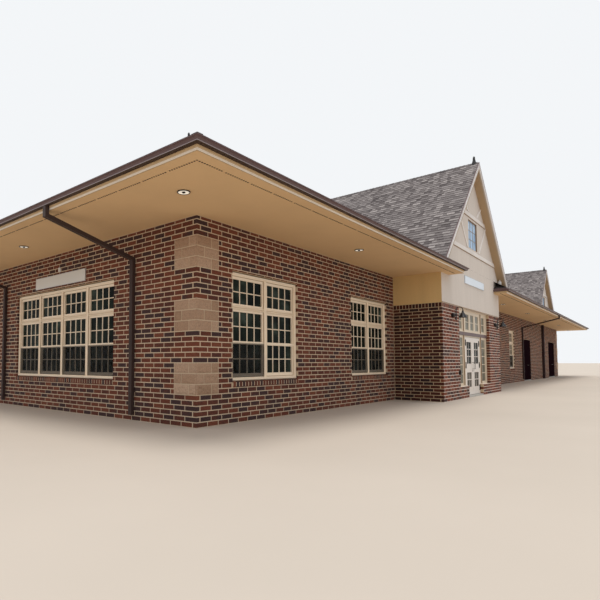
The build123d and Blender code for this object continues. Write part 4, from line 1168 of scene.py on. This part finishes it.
def build_entrance():
    joinery, panes, lines = Heap(), Heap(), Heap()
    post_z = (knee_wall_top + post_line_foot, pavilion_brick_top - post_line_head)
    head_z_range = (pavilion_brick_top - head_mould_drop, pavilion_brick_top - hair)
    front, rear = Wall(FRONT, pavilion_y), Wall(REAR, pavilion_y)
    for wall in (front, rear):
        # Brown lines down the posts: painted shade on the frame's sides
        for edge in (-1, 1):
            post_u = span(edge, post_line, post_line + post_line_width, pavilion_x)
            slab(lines, wall, post_u, post_z, (-leaf_face - hair, -leaf_face + post_line_depth))
        for u, z, rows in entry_panes():
            slab(panes, wall, u, z, (-pane_depth - pane_thickness, -pane_depth))
            glazing_bars(joinery, wall, u, z, 1, rows, -pane_depth, *pane_bar)
            bead_pane(joinery, wall, u, z)
        mould_u = about(pavilion_x, entry_half - hair)
        surround(joinery, wall, mould_u, head_z_range, brickmould, -leaf_face)
    joinery.piece("entrance_joinery", "entry_paint", "entrance_paint")
    lines.piece("entrance_post_shadows", "shadow_line_paint", "entrance_paint")
    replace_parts(panes.piece("entrance_panes", "hall_glass", "glass"), "entry_glass")
    for name, edge in (("left", -1), ("right", 1)):
        bars, hardware = Heap(), Heap()
        dress_leaf(bars, front, edge)
        bars.piece("entrance_bars_" + name, "leaf_paint", "entrance_paint", "entrance_leaf_" + name)
        build_hardware(hardware, front, edge)
        hardware.piece("entrance_hardware_" + name, "door_paint", "dark_metal", "entrance_leaf_" + name)
    heap = Heap()
    for edge in (-1, 1):
        dress_leaf(heap, rear, edge)
    heap.piece("rear_entrance_bars", "leaf_paint", "entrance_paint")


# Eaves, pipes, lights and signs

eave_runs = [
    (Wall(side, fascia_y), low, high, mitre)
    for side in (FRONT, REAR)
    for low, high, mitre in ((-fascia_x, return_west, (-1.0, 0.0)), (return_east, fascia_x, (0.0, 1.0)))
]
eave_runs += [(Wall(side, fascia_x), -fascia_y, fascia_y, (-1.0, 1.0)) for side in (WEST, EAST)]
vent_inset, vent_width = 0.110, 0.013
slot_width, slot_pitch, slots_in_panel, panel_gap = 0.013, 0.0257, 11, 0.0221
soffit_relief = 0.0015
# Down the barge board: a drip edge, a board, a panel in painted shade and a board, as upper line, lower line
# and thickness
rake_rows = [(0.0, 0.011, 0.012), (0.011, 0.033, 0.010), (0.033, 0.049, 0.003), (0.049, 0.074, 0.007)]
band_levels = [(*gables[0][:2], 2.570), (*gables[0][:2], 3.250), (*gables[1][:2], 3.250)]
gable_under_z = 4.138
band_shadow, stucco_foot = 0.013, 0.012
line_w = (-hair, 0.004)
light_spots = [(-end_x + step, -2.9665) for step in (2.377, 10.0, 13.0, 16.0, 19.0)]
light_spots += [(-11.6372, -2.8345), (11.6372, -2.8345), (-11.6152, 0.0), (11.6152, 0.0)]
ring_steps = [(0.0, 0.0560), (0.0066, 0.0560), (0.0074, 0.0545), (0.0074, 0.0470), (0.0, 0.0460)]
lamp_steps = [(0.002, 0.015), (0.010, 0.014), (0.013, 0.009)]
sign_w, sign_edge = (0.0, 0.012), 0.002
sign_rim = [(0, 0.009), (0, 0.014), (0.005, 0.014), (0.007, 0.009)]
flood_lamp_y = 3.320
pipe_half_width, pipe_face = 0.025, 0.044
pipe_places = [(walls[side], y) for side in (WEST, EAST) for y in (-1.5265, 1.5265)]
pipe_places += [(walls[side], 3.7068) for side in (FRONT, REAR)]
strap_levels, strap_height = (0.30, 0.95, 1.55), 0.016
# How far a strap's band and its fixing plate stand beside the pipe, and their faces
strap_parts = [(0.003, pipe_face + 0.0025), (0.018, 0.005)]
rib_z = (0.075, 1.70)
rib_shape = [(-0.004, -0.001), (-0.0025, 0.002), (0.0025, 0.002), (0.004, -0.001)]
hanger_pitch, hanger_half, hanger_thickness, hanger_top = 0.60, 0.006, 0.004, 2.0955
hanger_back, hanger_front = 0.002, 0.004


def vent_slots(start, end):
    """Where each slot begins: they come in panels, with a plain gap between two of them."""
    places = []
    position = start
    while position + slots_in_panel * slot_pitch < end:
        places += [position + index * slot_pitch for index in range(slots_in_panel)]
        position += slots_in_panel * slot_pitch + panel_gap
    return places


def build_soffit_vents():
    """A line of vent slots near the fascia, all round the eaves, each slot a dark bar of painted shade."""
    heap = Heap()
    z = about(soffit_z, soffit_relief)
    corner_x, corner_y = fascia_x - vent_inset, fascia_y - vent_inset
    for side in (-1, 1):
        y = span(side, corner_y, corner_y - vent_width)
        for low, high in ((-corner_x, return_west), (return_east, corner_x)):
            for place in vent_slots(low, high):
                flat_bar(heap, (place, place + slot_width), y, z)
        x = span(side, corner_x, corner_x - vent_width)
        for place in vent_slots(-corner_y + slot_pitch, corner_y):
            flat_bar(heap, x, (place, place + slot_width), z)
    heap.piece("soffit_vents", "shade_paint", "gutter_metal")


def build_light_rings():
    """A thin dark ring round each recessed light, and its dark lamp in the middle."""
    rings, lamps = Heap(), Heap()
    for x, y in light_spots:
        turned(rings, Vector((x, y, soffit_z)), -up, ring_steps, 40)
        turned(lamps, Vector((x, y, soffit_z)), -up, lamp_steps, 20)
    rings.piece("downlight_rings", "black_paint", "dark_metal")
    lamps.piece("downlight_lamps", "black_paint", "dark_metal")


def build_eave_trim():
    """The pale drip along the foot of the fascia, a real trim painted lighter as if lit; a painted highlight
    line on the step at the gutter's foot; and painted shade along its lip.
    """
    for name, finish, slot, (back, front), (low, high) in (
        ("fascia_drip", "lit_drip_paint", "trim", (-0.002, 0.0016), (0.0, 0.018)),
        ("gutter_highlight_lines", "highlight_paint", "gutter_metal", (0.0415, 0.0428), (0.0422, 0.0476)),
        ("gutter_lips", "shade_paint", "gutter_metal", (0.0585, 0.0630), (0.0750, 0.0772)),
    ):
        heap = Heap()
        profile = [(back, low), (front, low), (front, high), (back, high)]
        for wall, start, end, mitre in eave_runs:
            strip(heap, wall.at(start, soffit_z), wall.at(end, soffit_z), wall.out, up, profile, mitre)
        heap.piece(name, finish, slot)


def build_rakes():
    """Pale boards along the top of each barge board, a panel between them darkened with painted shade, and a
    drip edge above.
    """
    boards, panels, drips = Heap(), Heap(), Heap()
    for (centre, front, foot), face, side in product(gables, (FRONT, REAR), (-1, 1)):
        wall = Wall(face, front + rake_overhang + barge_thickness)
        start = wall.at(centre, gable_ridge_z)
        end = wall.at(centre + side * foot, gable_ridge_z - gable_rise * foot)
        inward = (-wall.along * (side * gable_rise) - up).normalized()
        for heap, (low, high, thick) in zip((drips, boards, panels, boards), rake_rows):
            strip(heap, start, end, inward, wall.out, board(low, high, -hair, thick), (gable_rise, 0.0))
    boards.piece("rake_boards", "rake_paint", "trim")
    panels.piece("rake_panels", "shaded_rake_panel_paint", "trim")
    drips.piece("rake_drips", "gutter_paint", "gutter_metal")


def build_band_shadows():
    """A line of painted shadow under each of the gables' cross bands, and a bead along the foot of the
    stucco, painted dark as its shadow.
    """
    shadows, beads = Heap(), Heap()
    for (centre, front, level), face in product(band_levels, (FRONT, REAR)):
        half = (gable_under_z - level) / gable_rise
        z = (level - band_shadow, level + hair)
        slab(shadows, Wall(face, front), about(centre, half), z, line_w)
    for face in (FRONT, REAR):
        z = (pavilion_brick_top + hair, pavilion_brick_top + stucco_foot)
        slab(beads, Wall(face, pavilion_y), (pavilion_west, pavilion_east), z, line_w)
    shadows.piece("band_shadows", "shadow_line_paint", "trim")
    beads.piece("stucco_beads", "shadow_line_paint", "trim")


def build_signs():
    """Bare plates with a rim: one over the end window, painted as in shade, and one on the pavilion's front,
    painted bluish with sky light.
    """
    rims = Heap()
    for name, finish, wall, u, z in (
        ("end_sign", "shaded_sign_paint", walls[WEST], (-0.594, 0.620), (1.598, 1.748)),
        ("front_sign", "sky_lit_sign_paint", Wall(FRONT, pavilion_y), (-5.305, -4.069), (1.989, 2.130)),
    ):
        plate = Heap()
        slab(plate, wall, u, z, sign_w, sign_edge)
        plate.piece(name, finish, "trim")
        surround(rims, wall, u, z, sign_rim)
    rims.piece("sign_rims", "brushed_steel", "steel")


def build_small_fittings():
    """A conduit box over the end wall's sign, and a flood lamp under the rake by the pavilion's corner."""
    lamp = Wall(FRONT, flood_lamp_y)
    for name, slot, parts in (
        ("conduit_box", "trim", [(walls[WEST], (-0.012, 0.012), (1.775, 1.828), (0.0, 0.026), 0.003)]),
        ("flood_lamp", "light", [(lamp, (-2.970, -2.918), (2.236, 2.308), (-0.045, 0.0), 0.004),
                                 (lamp, (-2.951, -2.937), (2.306, 2.345), (-0.030, -0.016), 0.001)]),
    ):
        heap = Heap()
        for part in parts:
            slab(heap, *part)
        heap.piece(name, "white_paint", slot)


def build_pipe_straps():
    """Ribs down the flat faces of the rain pipes, and the straps that hold them."""
    heap = Heap()
    for wall, u in pipe_places:
        for z, (beside, face) in product(strap_levels, strap_parts):
            strap_u = about(u, pipe_half_width + beside)
            slab(heap, wall, strap_u, (z, z + strap_height), (-hair, face), hair)
        for step in (-0.5, 0.0, 0.5):
            foot, top = (wall.at(u + step * pipe_half_width, z, pipe_face) for z in rib_z)
            strip(heap, foot, top, wall.along, wall.out, rib_shape)
    # In the pipes' darker paint: painted shade
    heap.piece("pipe_straps", "shaded_pipe_paint", "gutter_metal")


def hanger_spans(start, end):
    """The width of each hanger along a gutter."""
    count = int((end - start) / hanger_pitch)
    places = [start + index * hanger_pitch for index in range(1, count)]
    return [about(place, hanger_half) for place in places]


def build_gutter_hangers():
    heap = Heap()
    z = (hanger_top - hanger_thickness, hanger_top)
    for side in (-1, 1):
        y = span(side, fascia_y + hanger_back, cad_box[1].y - hanger_front)
        for low, high in ((-fascia_x, return_west), (return_east, fascia_x)):
            for x in hanger_spans(low, high):
                flat_bar(heap, x, y, z)
        x = span(side, fascia_x + hanger_back, cad_box[1].x - hanger_front)
        for y in hanger_spans(-fascia_y, fascia_y):
            flat_bar(heap, x, y, z)
    heap.piece("gutter_hangers", "gutter_paint", "gutter_metal")


# The camera stands where the photographer did, and the lens is shifted to the photograph's framing
camera_place = Vector((-14.3433, -5.6931, 0.6171))
camera_yaw, camera_pitch = radians(41.69), radians(3.04)
lens_length, sensor_width = 29.06, 36.0
lens_shift = (0.1261, 0.0605)
camera_reach = 1000.0
lamp_way = Vector((0.14, 0.11, -1.0))
lamp_energy, lamp_angle, lamp_colour = 1.7, radians(25), (1.0, 0.97, 0.92)
sky_light = {"Color": (0.93, 0.96, 1.0, 1.0), "Strength": 0.90}
seen_sky = {"Color": (0.90, 0.92, 0.94, 1.0), "Strength": 1.0}
floor_reach = 300.0


def aim(obj, way):
    obj.rotation_euler = way.to_track_quat("-Z", "Y").to_euler()


def build_camera():
    data = bpy.data.cameras.new("camera")
    data.lens = lens_length
    data.sensor_width = sensor_width
    data.shift_x, data.shift_y = lens_shift
    data.clip_end = camera_reach
    camera = placed("camera", data)
    camera.location = camera_place
    level = cos(camera_pitch)
    aim(camera, Vector((level * cos(camera_yaw), level * sin(camera_yaw), sin(camera_pitch))))
    bpy.context.scene.camera = camera


def build_stage():
    """A wide pale floor, a soft high lamp and an even sky."""
    mesh = bpy.data.meshes.new("floor")
    corners = [(x * floor_reach, y * floor_reach, 0) for x, y in ((-1, -1), (1, -1), (1, 1), (-1, 1))]
    mesh.from_pydata(corners, [], [(0, 1, 2, 3)])
    floor = placed("floor", mesh)
    f = Finish("floor_finish", 0.9, specular=0.1)
    f.colour(f.two_tone(f.noise(0.6, 3.0), (0.545, 0.478, 0.408), (0.572, 0.502, 0.430)))
    mesh.materials.append(finishes["floor_finish"])

    sun = bpy.data.lights.new("key", "SUN")
    sun.energy = lamp_energy
    sun.angle = lamp_angle
    sun.color = lamp_colour
    aim(placed("key", sun), lamp_way)

    world = bpy.data.worlds.new("world")
    world.use_nodes = True
    air = Nodes(world.node_tree)
    sky = air.tree.nodes["Background"]
    air.give(sky, sky_light)
    seen = air.node("ShaderNodeBackground", seen_sky)
    rays = air.node("ShaderNodeLightPath").outputs
    either = air.maths("MAXIMUM", rays["Is Camera Ray"], rays["Is Glossy Ray"])
    shaders = {"Fac": either, 1: sky.outputs["Background"], 2: seen.outputs["Background"]}
    mix = air.node("ShaderNodeMixShader", shaders)
    air.give(air.tree.nodes["World Output"], {"Surface": mix.outputs["Shader"]})
    bpy.context.scene.world = world
    bpy.context.scene.view_settings.view_transform = "Standard"


build_camera()
build_stage()
build_brickwork()
build_sills()
build_quoins()
build_shingles()
build_caps()
build_windows()
build_gable_windows()
build_entrance()
build_soffit_vents()
build_light_rings()
build_eave_trim()
build_rakes()
build_band_shadows()
build_signs()
build_small_fittings()
build_pipe_straps()
build_gutter_hangers()
